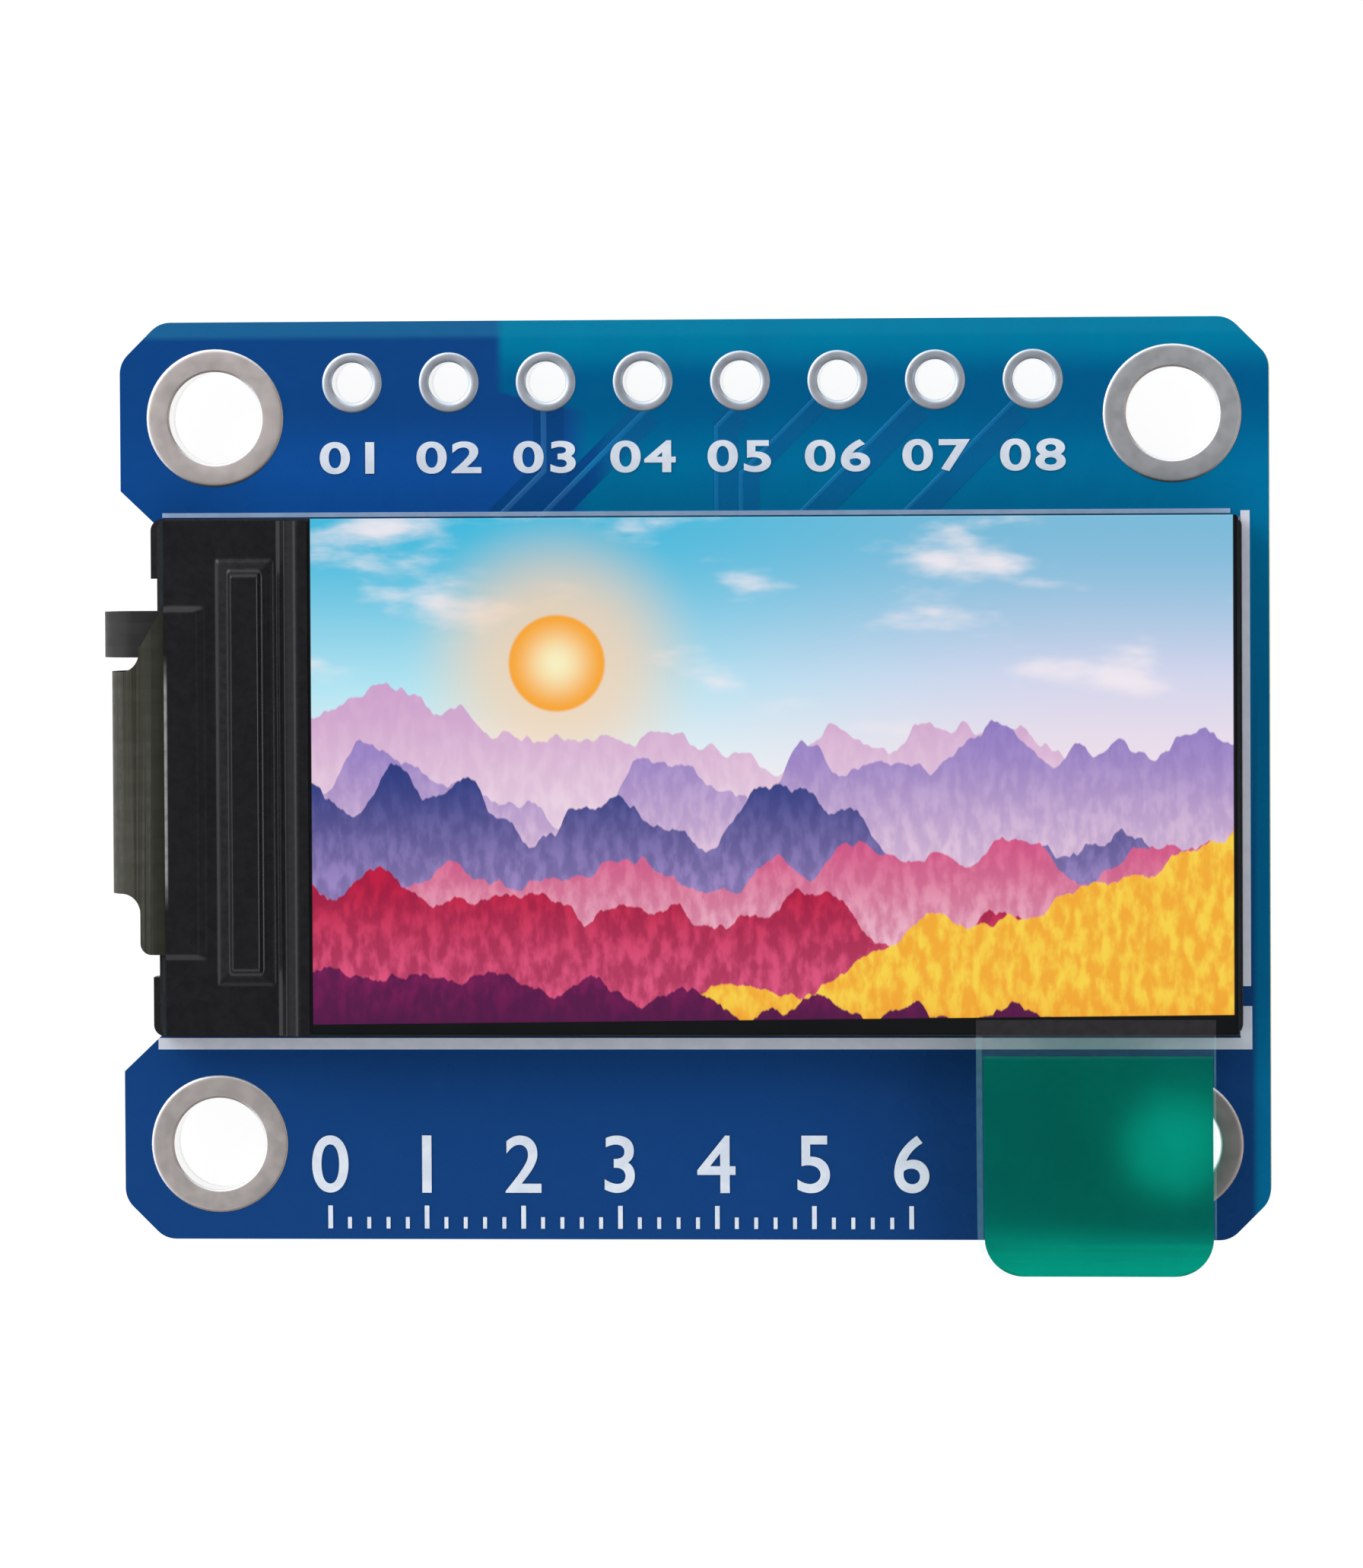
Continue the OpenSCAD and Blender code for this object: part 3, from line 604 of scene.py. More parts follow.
@dataclass(frozen=True)
class ClearTapeFinish(Finish):
    """Clear tape whose rim around the grip film is painted paler than its face, with a painted cyan-green
    spill of light from the film.

    Attributes:
        tint: Colour of the painted light in its rim, pale cyan-green.
        glue: Colour of the haze where it is stuck to the panel.
        left: Left edge of its face.
        right: Right edge of its face.
        low: Lower edge of its face.
        high: Upper edge of its face.
        lap: Lower edge of the stuck part.
        corner_r: Radius of the face's lower corners.
        haze: Share of what its face hides.
        rim_haze: Share of the painted light in the rim around the face.
        head_haze: Share of what the strip above the face hides.
        lap_haze: Share of what the stuck part hides.
    """

    tint: Colour
    glue: Colour
    left: float
    right: float
    low: float
    high: float
    lap: float
    corner_r: float
    haze: float = 0.001
    rim_haze: float = 0.07
    head_haze: float = 0.025
    lap_haze: float = 0.013

    def dress(self, graph: Graph) -> None:
        """Feeds the material's shader.

        Args:
            graph: Nodes of the material.
        """
        half = (self.right - self.left) / 2 - self.corner_r
        off = graph.distance(graph.x, (self.left + self.right) / 2)
        side = graph.math("MAXIMUM", graph.math("SUBTRACT", off, half), 0.0)
        foot = graph.math("MAXIMUM", graph.math("SUBTRACT", self.low + self.corner_r, graph.y), 0.0)
        out = graph.math("SQRT", graph.math("MULTIPLY_ADD", side, side, graph.product(foot, foot)))
        # Painted light: the clear tape around the grip film is hazed pale cyan-green, as light spilt from the
        # film.
        rim = graph.fade(out, self.corner_r - 0.01, self.corner_r + 0.05)
        head = graph.fade(graph.y, self.high - 0.1, self.high + 0.04, 0.0, self.head_haze)
        stuck = graph.fade(graph.y, self.lap - 0.03, self.lap + 0.03)
        clear = graph.math("MAXIMUM", graph.fade(rim, 0.0, 1.0, self.haze, self.rim_haze), head)
        clear = graph.math("MULTIPLY_ADD", stuck, graph.math("SUBTRACT", self.lap_haze, clear), clear)
        graph.set(
            Base_Color=graph.mix(stuck, self.tint, self.glue),
            Roughness=graph.uneven(3.0, (0.2, 0.3)),
            Alpha=graph.product(clear, graph.uneven(5.0, (0.7, 1.0), 3.0)),
            Specular_IOR_Level=0.3,
        )
        graph.bump(graph.noise(3.0, 4.0), 0.002)


@dataclass(frozen=True)
class FlexFinish(Finish):
    """Flexible circuit film whose copper lines show through its cover.

    Attributes:
        cover: Colour between the lines.
        line: Colour over a copper line.
        pitch: Spacing of the lines across the film in millimetres.
        middle: Place of the middle of the film along Y.
        shadow: Colour of the film in the tape's shadow.
        shadow_band: Band along X in which it dips under the tape.
    """

    cover: Colour
    line: Colour
    pitch: float
    middle: float = 0.0
    shadow: Colour = "15160e"
    shadow_band: Band = (-14.7, -13.7)

    def dress(self, graph: Graph) -> None:
        """Feeds the material's shader.

        Args:
            graph: Nodes of the material.
        """
        turns = graph.math("MULTIPLY_ADD", graph.y, 1 / self.pitch, -self.middle / self.pitch)
        lines = graph.fade(graph.math("SINE", graph.product(turns, math.tau)), -0.25, 0.35)
        seen = graph.product(lines, graph.uneven(1.2, (0.25, 1.0), 3.0))
        film = graph.mix(seen, self.cover, self.line)
        graph.set(
            Base_Color=graph.mix(graph.fade(graph.x, *self.shadow_band, 0.0, 0.7), film, self.shadow),
            Roughness=graph.uneven(4.0, (0.46, 0.56)),
            Specular_IOR_Level=0.3,
        )
        graph.bump(graph.math("MULTIPLY_ADD", graph.noise(14.0, 3.0), 0.35, lines), 0.002)


@dataclass(frozen=True)
class HillRange:
    """One range of hills in the picture on the screen.

    Attributes:
        base: Height of the skyline's middle on the screen.
        tilt: Rise of that line along X.
        rise: Height of the peaks.
        pace: Peaks per millimetre.
        seed: Start of the skyline's noise.
        ridge: Colour along the skyline.
        foot: Colour at the range's foot.
        depth: Distance from that middle down to the foot's colour.
        leaf: Strength of the woodland's texture.
        wood: Colour of the woodland.
    """

    base: float
    tilt: float
    rise: float
    pace: float
    seed: float
    ridge: Colour
    foot: Colour
    depth: float
    leaf: float
    wood: Colour


RANGES = (
    HillRange(1.3, -0.05, 3.2, 0.20, 3.1, "d7a9d4", "fbe6f1", 3.6, 0.2, "c08fc4"),
    HillRange(0.2, 0.06, 2.8, 0.24, 17.4, "9c86cc", "f3d3e8", 3.2, 0.3, "8268b4"),
    HillRange(-0.9, -0.11, 2.9, 0.27, 41.7, "2c3f88", "b79ddb", 3.4, 0.4, "2a2f74"),
    HillRange(-2.3, 0.05, 2.0, 0.30, 63.2, "e0608f", "f8cbdc", 2.8, 0.5, "c4477c"),
    HillRange(-3.3, -0.08, 1.9, 0.34, 88.5, "c41440", "e65a86", 2.4, 0.6, "8e0f3e"),
    HillRange(-5.9, 0.31, 1.3, 0.38, 120.3, "ffd84a", "f58a1e", 1.6, 0.6, "f58c1c"),
    HillRange(-5.5, -0.07, 1.4, 0.42, 151.8, "7d1557", "3d0a3c", 1.6, 0.7, "4c0d45"),
)


@dataclass(frozen=True)
class PictureFinish(Finish):
    """Screen face that shows a generic landscape, with a dark border around the lit part.

    Attributes:
        left: Left end of the lit part.
        right: Right end of the lit part.
        bottom: Lower edge of the lit part.
        top: Upper edge of the lit part.
        lean: Rise of its lower edge along X.
        border: Colour of the dark border.
        horizon: Height on the screen where the sky is palest.
        east_band: Band along X in which the sky turns to its eastern colours.
        sun_at: Centre of the sun.
        sun_r: Radius of the sun.
        glow_r: Radius of its glow.
    """

    left: float = -9.81
    right: float = 14.10
    bottom: float = -6.17
    top: float = 6.9
    lean: float = 0.0103
    border: Colour = "08080a"
    horizon: float = -1.5
    east_band: Band = (-4.0, 11.0)
    sun_at: Place = (-3.4, 3.1, 2.9)
    sun_r: float = 1.25
    glow_r: float = 4.2

    def sky(self, graph: Graph) -> Socket:
        """Sky with soft clouds and a low sun.

        Args:
            graph: Nodes of the material.

        Returns:
            The sky's colour.
        """
        height = graph.fade(graph.y, self.horizon, self.top)
        west = graph.ramp(height, ((0.0, WHITE), (0.45, "b9ecfa"), (1.0, "45bfe3")))
        east = graph.ramp(height, ((0.0, "ffe9f0"), (0.5, "d9dcf4"), (1.0, "7fc0e0")))
        colour = graph.mix(graph.fade(graph.x, *self.east_band), west, east)
        puffs = graph.fade(graph.noise(1.0, 5.0, graph.stretch((0.20, 0.55, 0.0))), 0.52, 0.70)
        colour = graph.mix(graph.product(puffs, graph.fade(graph.y, 0.0, 3.5, 0.3, 0.85)), colour, "fff4f8")
        terms = {0: graph.place, 1: self.sun_at}
        away = graph.add("ShaderNodeVectorMath", terms, operation="DISTANCE").outputs["Value"]
        colour = graph.mix(graph.fade(away, self.glow_r, self.sun_r, 0.0, 0.75), colour, "ffd9b0")
        disc = graph.mix(graph.fade(away, 0.0, self.sun_r), "fff7c8", "ffab34")
        return graph.mix(graph.fade(away, self.sun_r + 0.05, self.sun_r - 0.05), colour, disc)

    def hills(self, graph: Graph, colour: Socket) -> Socket:
        """Ranges of hills, laid over the sky from the farthest to the nearest.

        Args:
            graph: Nodes of the material.
            colour: What is behind them.

        Returns:
            The picture's colour.
        """
        leaves = graph.noise(1.0, 6.0, graph.stretch((3.4, 1.5, 0.0)))
        for hill in RANGES:
            along = graph.math("MULTIPLY_ADD", graph.x, hill.pace, hill.seed)
            foot = hill.base - hill.rise
            peaks = graph.math("MULTIPLY_ADD", graph.skyline(along, 5.0), 2 * hill.rise, foot)
            line = graph.math("MULTIPLY_ADD", graph.x, hill.tilt, peaks)
            below = graph.math("SUBTRACT", line, graph.y)
            mist = graph.fade(graph.y, hill.base + hill.rise / 2, hill.base - hill.depth)
            slope = graph.mix(mist, hill.ridge, hill.foot)
            slope = graph.mix(graph.fade(leaves, 0.38, 0.66, hill.leaf, 0.0), slope, hill.wood)
            colour = graph.mix(graph.fade(below, 0.0, 0.07), colour, slope)
        return colour

    def lit(self, graph: Graph) -> Term:
        """Share of light at each place: none in the border.

        Args:
            graph: Nodes of the material.

        Returns:
            The share.
        """
        level = graph.math("MULTIPLY_ADD", graph.x, -self.lean, graph.y)
        blur = 0.015
        return graph.product(
            graph.fade(graph.x, self.left - blur, self.left + blur),
            graph.fade(graph.x, self.right + blur, self.right - blur),
            graph.fade(level, self.bottom - blur, self.bottom + blur),
            graph.fade(graph.y, self.top + blur, self.top - blur),
        )

    def dress(self, graph: Graph) -> None:
        """Feeds the material's shader.

        Args:
            graph: Nodes of the material.
        """
        picture = self.hills(graph, self.sky(graph))
        graph.set(
            Base_Color=self.border,
            Roughness=graph.uneven(3.0, (0.10, 0.16)),
            Emission_Color=graph.mix(self.lit(graph), BLACK, picture),
            Emission_Strength=1.0,
            Specular_IOR_Level=0.4,
        )


@dataclass(frozen=True)
class FloorFinish(Finish):
    """White floor that stays white to the eye and keeps a soft shadow.

    Attributes:
        tint: Colour that it throws back at the part.
        glow: Share of the white that is there without any light.
        lit: Share that the light adds.
    """

    tint: Colour = "f2f2f2"
    glow: float = 0.91
    lit: float = 0.18

    def dress(self, graph: Graph) -> None:
        """Feeds the material's shader, and sets another one before it for the eye.

        Args:
            graph: Nodes of the material.
        """
        graph.set(Base_Color=self.tint, Roughness=0.9, Specular_IOR_Level=0.0)
        plain = graph.add("ShaderNodeBsdfDiffuse", {"Color": (self.lit,) * 3 + (1.0,)})
        glow = graph.add("ShaderNodeEmission", {"Strength": self.glow})
        both = graph.add("ShaderNodeAddShader", {0: plain.outputs[0], 1: glow.outputs[0]})
        path = graph.add("ShaderNodeLightPath")
        seen = graph.math("ADD", path.outputs["Is Camera Ray"], path.outputs["Is Glossy Ray"])
        seen = graph.math("MAXIMUM", seen, path.outputs["Is Transmission Ray"])
        terms = {0: seen, 1: graph.shader.outputs["BSDF"], 2: both.outputs[0]}
        choice = graph.add("ShaderNodeMixShader", terms)
        graph.feed(graph.output.inputs["Surface"], choice.outputs[0])


def deselect() -> None:
    """Leaves nothing selected in object mode."""
    bpy.ops.object.select_all(action="DESELECT")


def activate(*pieces: Piece) -> None:
    """Selects the given pieces alone, with the first one active.

    Args:
        *pieces: The pieces.
    """
    deselect()
    for piece in pieces:
        piece.select_set(True)
    bpy.context.view_layer.objects.active = pieces[0]


@contextmanager
def editing(piece: Piece) -> Iterator[None]:
    """Holds a piece in edit mode, with vertices as what is picked.

    Args:
        piece: The piece.

    Yields:
        Nothing.
    """
    activate(piece)
    bpy.ops.object.mode_set(mode="EDIT")
    bpy.ops.mesh.select_mode(type="VERT")
    yield
    bpy.ops.object.mode_set(mode="OBJECT")
    deselect()


def pick(piece: Piece, test: Callable[[Vector], bool]) -> list[Vector]:
    """Selects the vertices whose place passes a test, in edit mode.

    Args:
        piece: Piece in edit mode.
        test: Says of a place in metres whether it counts.

    Returns:
        Places of the selected vertices.
    """
    mesh = bmesh.from_edit_mesh(piece.data)
    for vertex in mesh.verts:
        vertex.select = test(vertex.co)
    mesh.select_flush_mode()
    bmesh.update_edit_mesh(piece.data)
    return [v.co.copy() for v in mesh.verts if v.select]


def pick_all() -> None:
    """Selects the whole mesh, in edit mode."""
    bpy.ops.mesh.select_all(action="SELECT")


def move(way: Vector | Place) -> None:
    """Moves what is selected by a way in metres, in edit mode."""
    bpy.ops.transform.translate(value=way)


def shift(piece: Piece, start: Vector, end: Vector) -> None:
    """Moves the one vertex at start to end, in edit mode."""
    pick(piece, lambda co: (co - start).length < WELD)
    move(end - start)


def outward() -> None:
    """Turns all faces outwards, in edit mode."""
    pick_all()
    bpy.ops.mesh.normals_make_consistent(inside=False)


def smooth(piece: Piece, angle: float) -> None:
    """Shades a piece smooth, apart from its sharp edges.

    Args:
        piece: The piece.
        angle: Angle in degrees from which an edge is sharp.
    """
    activate(piece)
    bpy.ops.object.shade_smooth_by_angle(angle=math.radians(angle))
    deselect()


def named(name: str) -> Piece:
    """Names the active object and its mesh.

    Args:
        name: The name.

    Returns:
        The object.
    """
    piece = bpy.context.object
    piece.name = piece.data.name = name
    return piece


def placed(name: str, data: bpy.types.ID) -> Piece:
    """Puts a new object in the scene.

    Args:
        name: Name of the object.
        data: Its mesh, lamp or camera.

    Returns:
        The object.
    """
    item = bpy.data.objects.new(name, data)
    bpy.context.scene.collection.objects.link(item)
    return item


def joined(pieces: Sequence[Piece], name: str) -> Piece:
    """Joins several meshes to one piece.

    Args:
        pieces: The meshes.
        name: Name of the piece.

    Returns:
        The piece.
    """
    activate(*pieces)
    bpy.ops.object.join()
    return named(name)


def mitred(path: Sequence[Point], width: float) -> list[tuple[Vector, Vector]]:
    """Left and right edge points of a strip along a path.

    Args:
        path: Corners of the strip's middle line.
        width: Width of the strip.

    Returns:
        A left and a right point in metres for each corner.
    """
    spots = [Vector(p) for p in path]
    ways = [(b - a).normalized() for a, b in zip(spots, spots[1:])]
    pairs = []
    for i, spot in enumerate(spots):
        before, after = ways[max(i - 1, 0)], ways[min(i, len(ways) - 1)]
        across = Vector((-before.y - after.y, before.x + after.x)).normalized()
        half = across * (width / 2 / across.dot(Vector((-before.y, before.x))))
        pairs.append(tuple((p * MM).to_3d() for p in (spot + half, spot - half)))
    return pairs


def strip(path: Sequence[Point], width: float, level: float, rise: float, slope: float = 0.0) -> Piece:
    """Models a flat strip along a path, on the board's front.

    Args:
        path: Corners of the strip's middle line.
        width: Width of the strip.
        level: Height of the face it lies on.
        rise: Thickness of the strip.
        slope: Run of its sloped sides, which start a fifth of the way up.

    Returns:
        The strip as a mesh.
    """
    lift = Vector((0, 0, level * MM))
    pairs = [(left + lift, right + lift) for left, right in mitred(path, width)]
    deselect()
    bpy.ops.mesh.primitive_plane_add(size=width * MM)
    piece = named("strip")
    half = width * MM / 2
    with editing(piece):
        # Corners wait out of the way, so that none is taken for one that hasn't moved yet.
        aside = Vector((0, 0, 1))
        starts = [Vector((x * half, y * half, 0)) for y in (-1, 1) for x in (-1, 1)]
        for start, target in zip(starts, (*pairs[0], *pairs[1])):
            shift(piece, start, target + aside)
        pick_all()
        move(-aside)
        for (left, right), (next_left, next_right) in zip(pairs[1:], pairs[2:]):
            pick(piece, lambda co: min((co - left).length, (co - right).length) < WELD)
            bpy.ops.mesh.extrude_edges_move(TRANSFORM_OT_translate={"value": next_left - left})
            shift(piece, right + next_left - left, next_right)
        pick_all()
        side = rise * MM * (0.2 if slope else 1.0)
        bpy.ops.mesh.extrude_region_move(TRANSFORM_OT_translate={"value": (0, 0, side)})
        if slope:
            bpy.ops.mesh.inset(thickness=slope * MM, depth=0)
            move((0, 0, rise * MM - side))
        outward()
    return piece


@dataclass(frozen=True)
class Lettering:
    """Printed digits of one size.

    Attributes:
        base: Lower edge of the digits on the board.
        cap: Height of the digits.
        bold: Extra weight of their strokes.
        spread: Stretch of the digits along X.
        spacing: Spacing of the digits, as a share of the usual one.
        cap_share: Height of a digit as a share of the letters' size.
        curve_steps: Straight parts in each of a digit's curves.
    """

    base: float
    cap: float
    bold: float
    spread: float = 1.0
    spacing: float = 1.12
    cap_share: float = 0.72
    curve_steps: int = 10

    def digits(self, text: str, x: float, level: float, rise: float) -> Piece:
        """Models digits, centred on a place along the board.

        Args:
            text: The digits.
            x: Place of their middle.
            level: Height of the face they lie on.
            rise: Thickness of the ink.

        Returns:
            The digits as a mesh.
        """
        deselect()
        bpy.ops.object.text_add()
        letters = bpy.context.object.data
        letters.body = text
        letters.align_x = "CENTER"
        letters.size = self.cap * MM / self.cap_share
        letters.fill_mode = "NONE"
        letters.extrude = rise * MM / 2
        letters.resolution_u = self.curve_steps
        letters.space_character = self.spacing
        bpy.ops.object.convert(target="MESH")
        piece = named("digits")
        with editing(piece):
            pick_all()
            bpy.ops.mesh.remove_doubles(threshold=self.cap * MM / 200)
            bpy.ops.transform.shrink_fatten(value=self.bold * MM, use_even_offset=True)
            for side in (-1, 1):
                pick(piece, lambda co: co.z * side > 0)
                bpy.ops.mesh.fill()
            heights = [place.y for place in pick(piece, lambda co: True)]
            low, high = min(heights), max(heights)
            tall = self.cap * MM / (high - low)
            bpy.ops.transform.resize(value=(self.spread, tall, 1), center_override=(0, low, 0))
            move(Vector((x, self.base, level + rise / 2)) * MM - Vector((0, low, 0)))
            outward()
        return piece


def copies(piece: Piece, places: Sequence[Point]) -> list[Piece]:
    """Copies a piece modelled at the origin to several places, and removes the first one.

    Args:
        piece: The piece.
        places: Places on the board.

    Returns:
        The copies, each with its own mesh.
    """
    made = []
    for x, y in places:
        copy = placed(piece.name, piece.data.copy())
        with editing(copy):
            pick_all()
            move((x * MM, y * MM, 0))
        smooth(copy, 40)
        made.append(copy)
    activate(piece)
    bpy.ops.object.delete()
    return made


def twin(node: Piece, name: str, gap: float = 0.0) -> Piece:
    """Copies a CAD node as a welded mesh with smooth curves.

    Args:
        node: The CAD node's object.
        name: Name of the new piece.
        gap: Distance in millimetres that its skin is drawn in, so that clear layers don't share faces.

    Returns:
        The new piece.
    """
    piece = placed(name, node.data.copy())
    piece.data.name = name
    with editing(piece):
        pick_all()
        bpy.ops.mesh.remove_doubles(threshold=WELD)
        bpy.ops.mesh.dissolve_limited(angle_limit=math.radians(0.2))
        pick_all()
        if gap:
            bpy.ops.transform.shrink_fatten(value=-gap * MM, use_even_offset=True)
    smooth(piece, 25)
    return piece


class Bench:
    """The loaded frame, and the ways that pieces and nodes are put on it."""

    def __init__(self) -> None:
        """Loads the frame and notes the CAD model's box."""
        self.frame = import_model()
        self.nodes: dict[str, Piece] = self.frame["nodes"]
        self.cad_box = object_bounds()
        self.materials: dict[Finish, bpy.types.Material] = {}
        deselect()

    def material(self, finish: Finish) -> bpy.types.Material:
        """Material of a finish, made when it is first used.

        Args:
            finish: The finish.

        Returns:
            The material.
        """
        if finish not in self.materials:
            self.materials[finish] = finish.material()
        return self.materials[finish]

    def paint(self, finish: Finish, *names: str) -> None:
        """Gives CAD nodes a finish.

        Args:
            finish: The finish.
            *names: Names of the nodes.
        """
        for name in names:
            for slot in self.nodes[name].material_slots:
                slot.material = self.material(finish)
            LOG.info("painted %s with %s", name, finish.name)

    def mount(self, piece: Piece, finish: Finish, slot: Slot | None = None, *nodes: str) -> None:
        """Puts a finished piece on the part.

        Args:
            piece: The piece.
            finish: Its finish.
            slot: Not used.
            *nodes: CAD nodes that it stands for.
        """
        piece.data.materials.clear()
        piece.data.materials.append(self.material(finish))
        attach(piece, BODY)
        if nodes:
            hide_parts(*nodes)
        LOG.info("built %s, %d faces", piece.name, len(piece.data.polygons))

    def renew(self, node: str, name: str, finish: Finish, slot: Slot, gap: float = 0.0) -> None:
        """Stands a smooth copy of a CAD node in its place.

        Args:
            node: The CAD node's name.
            name: Name of the new piece.
            finish: Its finish.
            slot: Slot of the record, passed on to mount.
            gap: Distance in millimetres that its skin is drawn in.
        """
        self.mount(twin(self.nodes[node], name, gap), finish, slot, node)


@dataclass
class Studio:
    """White floor, soft lamps and the camera.

    Attributes:
        floor_z: Height of the floor.
        floor_side: Side of the floor in metres.
        target: Point that the camera's axis passes through.
        distance: Distance of the camera from that point.
        turns: Turns of the part to the camera about its axes, in degrees.
        film: Width of the camera's film.
        lens: Focal length of its lens.
        offset: Shift of the frame across and up.
        ring: Brightness of the room between the horizon and overhead.
        ring_swing: Share by which the ring is brighter and dimmer on its two sides.
        ring_from: Way to its brighter side.
        zenith: Brightness of the room overhead.
        zenith_band: Heights between which the ring fades to the zenith.
        horizon_band: Heights between which the white horizon fades to the ring.
        key_at: Place of the main softbox, in metres.
        key_power: Its power in watts.
        fill_at: Place of the weaker softbox, in metres.
        fill_power: Its power in watts.
        box_side: Side of a softbox in metres.
    """

    floor_z: float = -1.12
    floor_side: float = 6.0
    target: Place = (0.0, 0.0, 1.2)
    distance: float = 240.0
    turns: tuple[tuple[str, float], ...] = (("Z", 0.30), ("X", 2.05), ("Y", -4.57))
    film: float = 36.0
    lens: float = 211.4
    offset: Point = (-0.00757, -0.00238)
    ring: float = 1.2
    ring_swing: float = 0.18
    ring_from: Place = (-0.8, 0.6, 0.0)
    zenith: float = 0.12
    zenith_band: Band = (0.70, 0.86)
    horizon_band: Band = (0.06, 0.2)
    key_at: Place = (-0.09, 0.07, 0.10)
    key_power: float = 0.075
    fill_at: Place = (0.13, -0.02, 0.09)
    fill_power: float = 0.05
    box_side: float = 0.08

    def build(self) -> None:
        """Sets up the whole studio."""
        bpy.context.scene.view_settings.view_transform = "Standard"
        self.lay_floor()
        self.light_room()
        self.hang_softbox("key_softbox", self.key_at, self.key_power)
        self.hang_softbox("fill_softbox", self.fill_at, self.fill_power)
        self.set_camera()

    def lay_floor(self) -> None:
        """Lays the floor, a wide sheet."""
        deselect()
        bpy.ops.mesh.primitive_plane_add(size=self.floor_side)
        floor = named("floor")
        with editing(floor):
            pick_all()
            move((0, 0, self.floor_z * MM))
            bpy.ops.mesh.subdivide(number_cuts=3)
        floor.data.materials.append(FloorFinish("white_floor").material())
        floor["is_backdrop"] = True

    def light_room(self) -> None:
        """Lights the room: white at the horizon, a ring that is brightest at the upper left, dim overhead."""
        world = bpy.data.worlds.new("studio_room")
        bpy.context.scene.world = world
        world.use_nodes = True
        nodes = Nodes(world.node_tree)
        view = nodes.add("ShaderNodeTexCoord").outputs["Generated"]
        height = nodes.split(view)[2]
        lean = nodes.add("ShaderNodeVectorMath", {0: view, 1: self.ring_from}, operation="DOT_PRODUCT")
        sides = (self.ring * (1 - self.ring_swing), self.ring * (1 + self.ring_swing))
        ring = nodes.fade(lean.outputs["Value"], -1.0, 1.0, *sides)
        dome = nodes.fade(height, *self.zenith_band, ring, self.zenith)
        background = world.node_tree.nodes["Background"]
        nodes.feed(background.inputs["Strength"], nodes.fade(height, *self.horizon_band, 1.0, dome))
        nodes.feed(background.inputs["Color"], WHITE)

    def hang_softbox(self, name: str, place: Place, power: float) -> None:
        """Hangs one softbox that points at the part.

        Args:
            name: Name of the lamp.
            place: Its place in metres.
            power: Its power in watts.
        """
        lamp = bpy.data.lights.new(name, "AREA")
        lamp.energy = power
        lamp.size = self.box_side
        body = placed(name, lamp)
        body.location = place
        body.rotation_euler = Vector(place).to_track_quat("Z", "Y").to_euler()

    def set_camera(self) -> None:
        """Sets the camera at the photograph's place."""
        camera = bpy.data.cameras.new("camera")
        camera.lens = self.lens
        camera.sensor_width = self.film
        camera.shift_x, camera.shift_y = self.offset
        camera.clip_start = 0.01
        body = placed("camera", camera)
        turn = Matrix.Identity(4)
        for axis, angle in self.turns:
            turn @= Matrix.Rotation(math.radians(angle), 4, axis)
        aim = Matrix.Translation(Vector(self.target) * MM) @ turn.transposed()
        body.matrix_world = aim @ Matrix.Translation((0, 0, self.distance * MM))
        bpy.context.scene.camera = body


@dataclass(frozen=True)
class Eyelet:
    """Plated hole through the board, with rings whose rims the tin has rounded.

    Attributes:
        hole_r: Radius of the hole.
        ring: Width of its rings.
        outer_run: Run of the round outer rim.
        inner_run: Run of the round lip at the hole.
        board_t: Thickness of the board.
        copper_t: Thickness of the copper.
        lip: Height of the lip in thicknesses of the copper.
        steps: Faces around each rim.
        turns: Faces around the hole.
    """

    hole_r: float
    ring: float
    outer_run: float
    inner_run: float
    board_t: float = 1.2
    copper_t: float = 0.04
    lip: float = 1.5
    steps: int = 5
    turns: int = 64

    def section(self) -> list[Point]:
        """Closed section of the eyelet.

        Returns:
            Its points as radius and height.
        """
        middle, rise = self.board_t / 2, self.copper_t
        outer, inner = self.hole_r + self.ring, self.hole_r
        upper = [(inner + rise, middle)]
        angles = [math.pi / 2 * k / self.steps for k in range(self.steps + 1)]
        for angle in angles:
            upper.append((outer + self.outer_run * (math.cos(angle) - 1), middle + rise * math.sin(angle)))
        for angle in angles:
            fall = self.lip * rise * (1 - math.cos(angle))
            upper.append((inner + self.inner_run * (1 - math.sin(angle)), middle + rise - fall))
        lower = [(r, -z) for r, z in reversed(upper)]
        return [(r, middle + z) for r, z in upper + lower]

    def build(self, places: Sequence[Point], name: str) -> Piece:
        """Models the eyelet once and copies it to each place.

        Args:
            places: Middle of each hole.
            name: Name of the finished piece.

        Returns:
            All eyelets as one piece.
        """
        section = [Vector((r, 0, z)) * MM for r, z in self.section()]
        deselect()
        bpy.ops.mesh.primitive_circle_add(vertices=len(section), radius=1.0, fill_type="NOTHING")
        piece = named(name)
        starts = [v.co.copy() for v in piece.data.vertices]
        with editing(piece):
            for start, target in zip(starts, section):
                shift(piece, start, target)
            pick_all()
            bpy.ops.mesh.spin(steps=self.turns, angle=math.tau, center=(0, 0, 0), axis=(0, 0, 1))
            pick_all()
            bpy.ops.mesh.remove_doubles(threshold=WELD)
            outward()
        return joined(copies(piece, places), name)


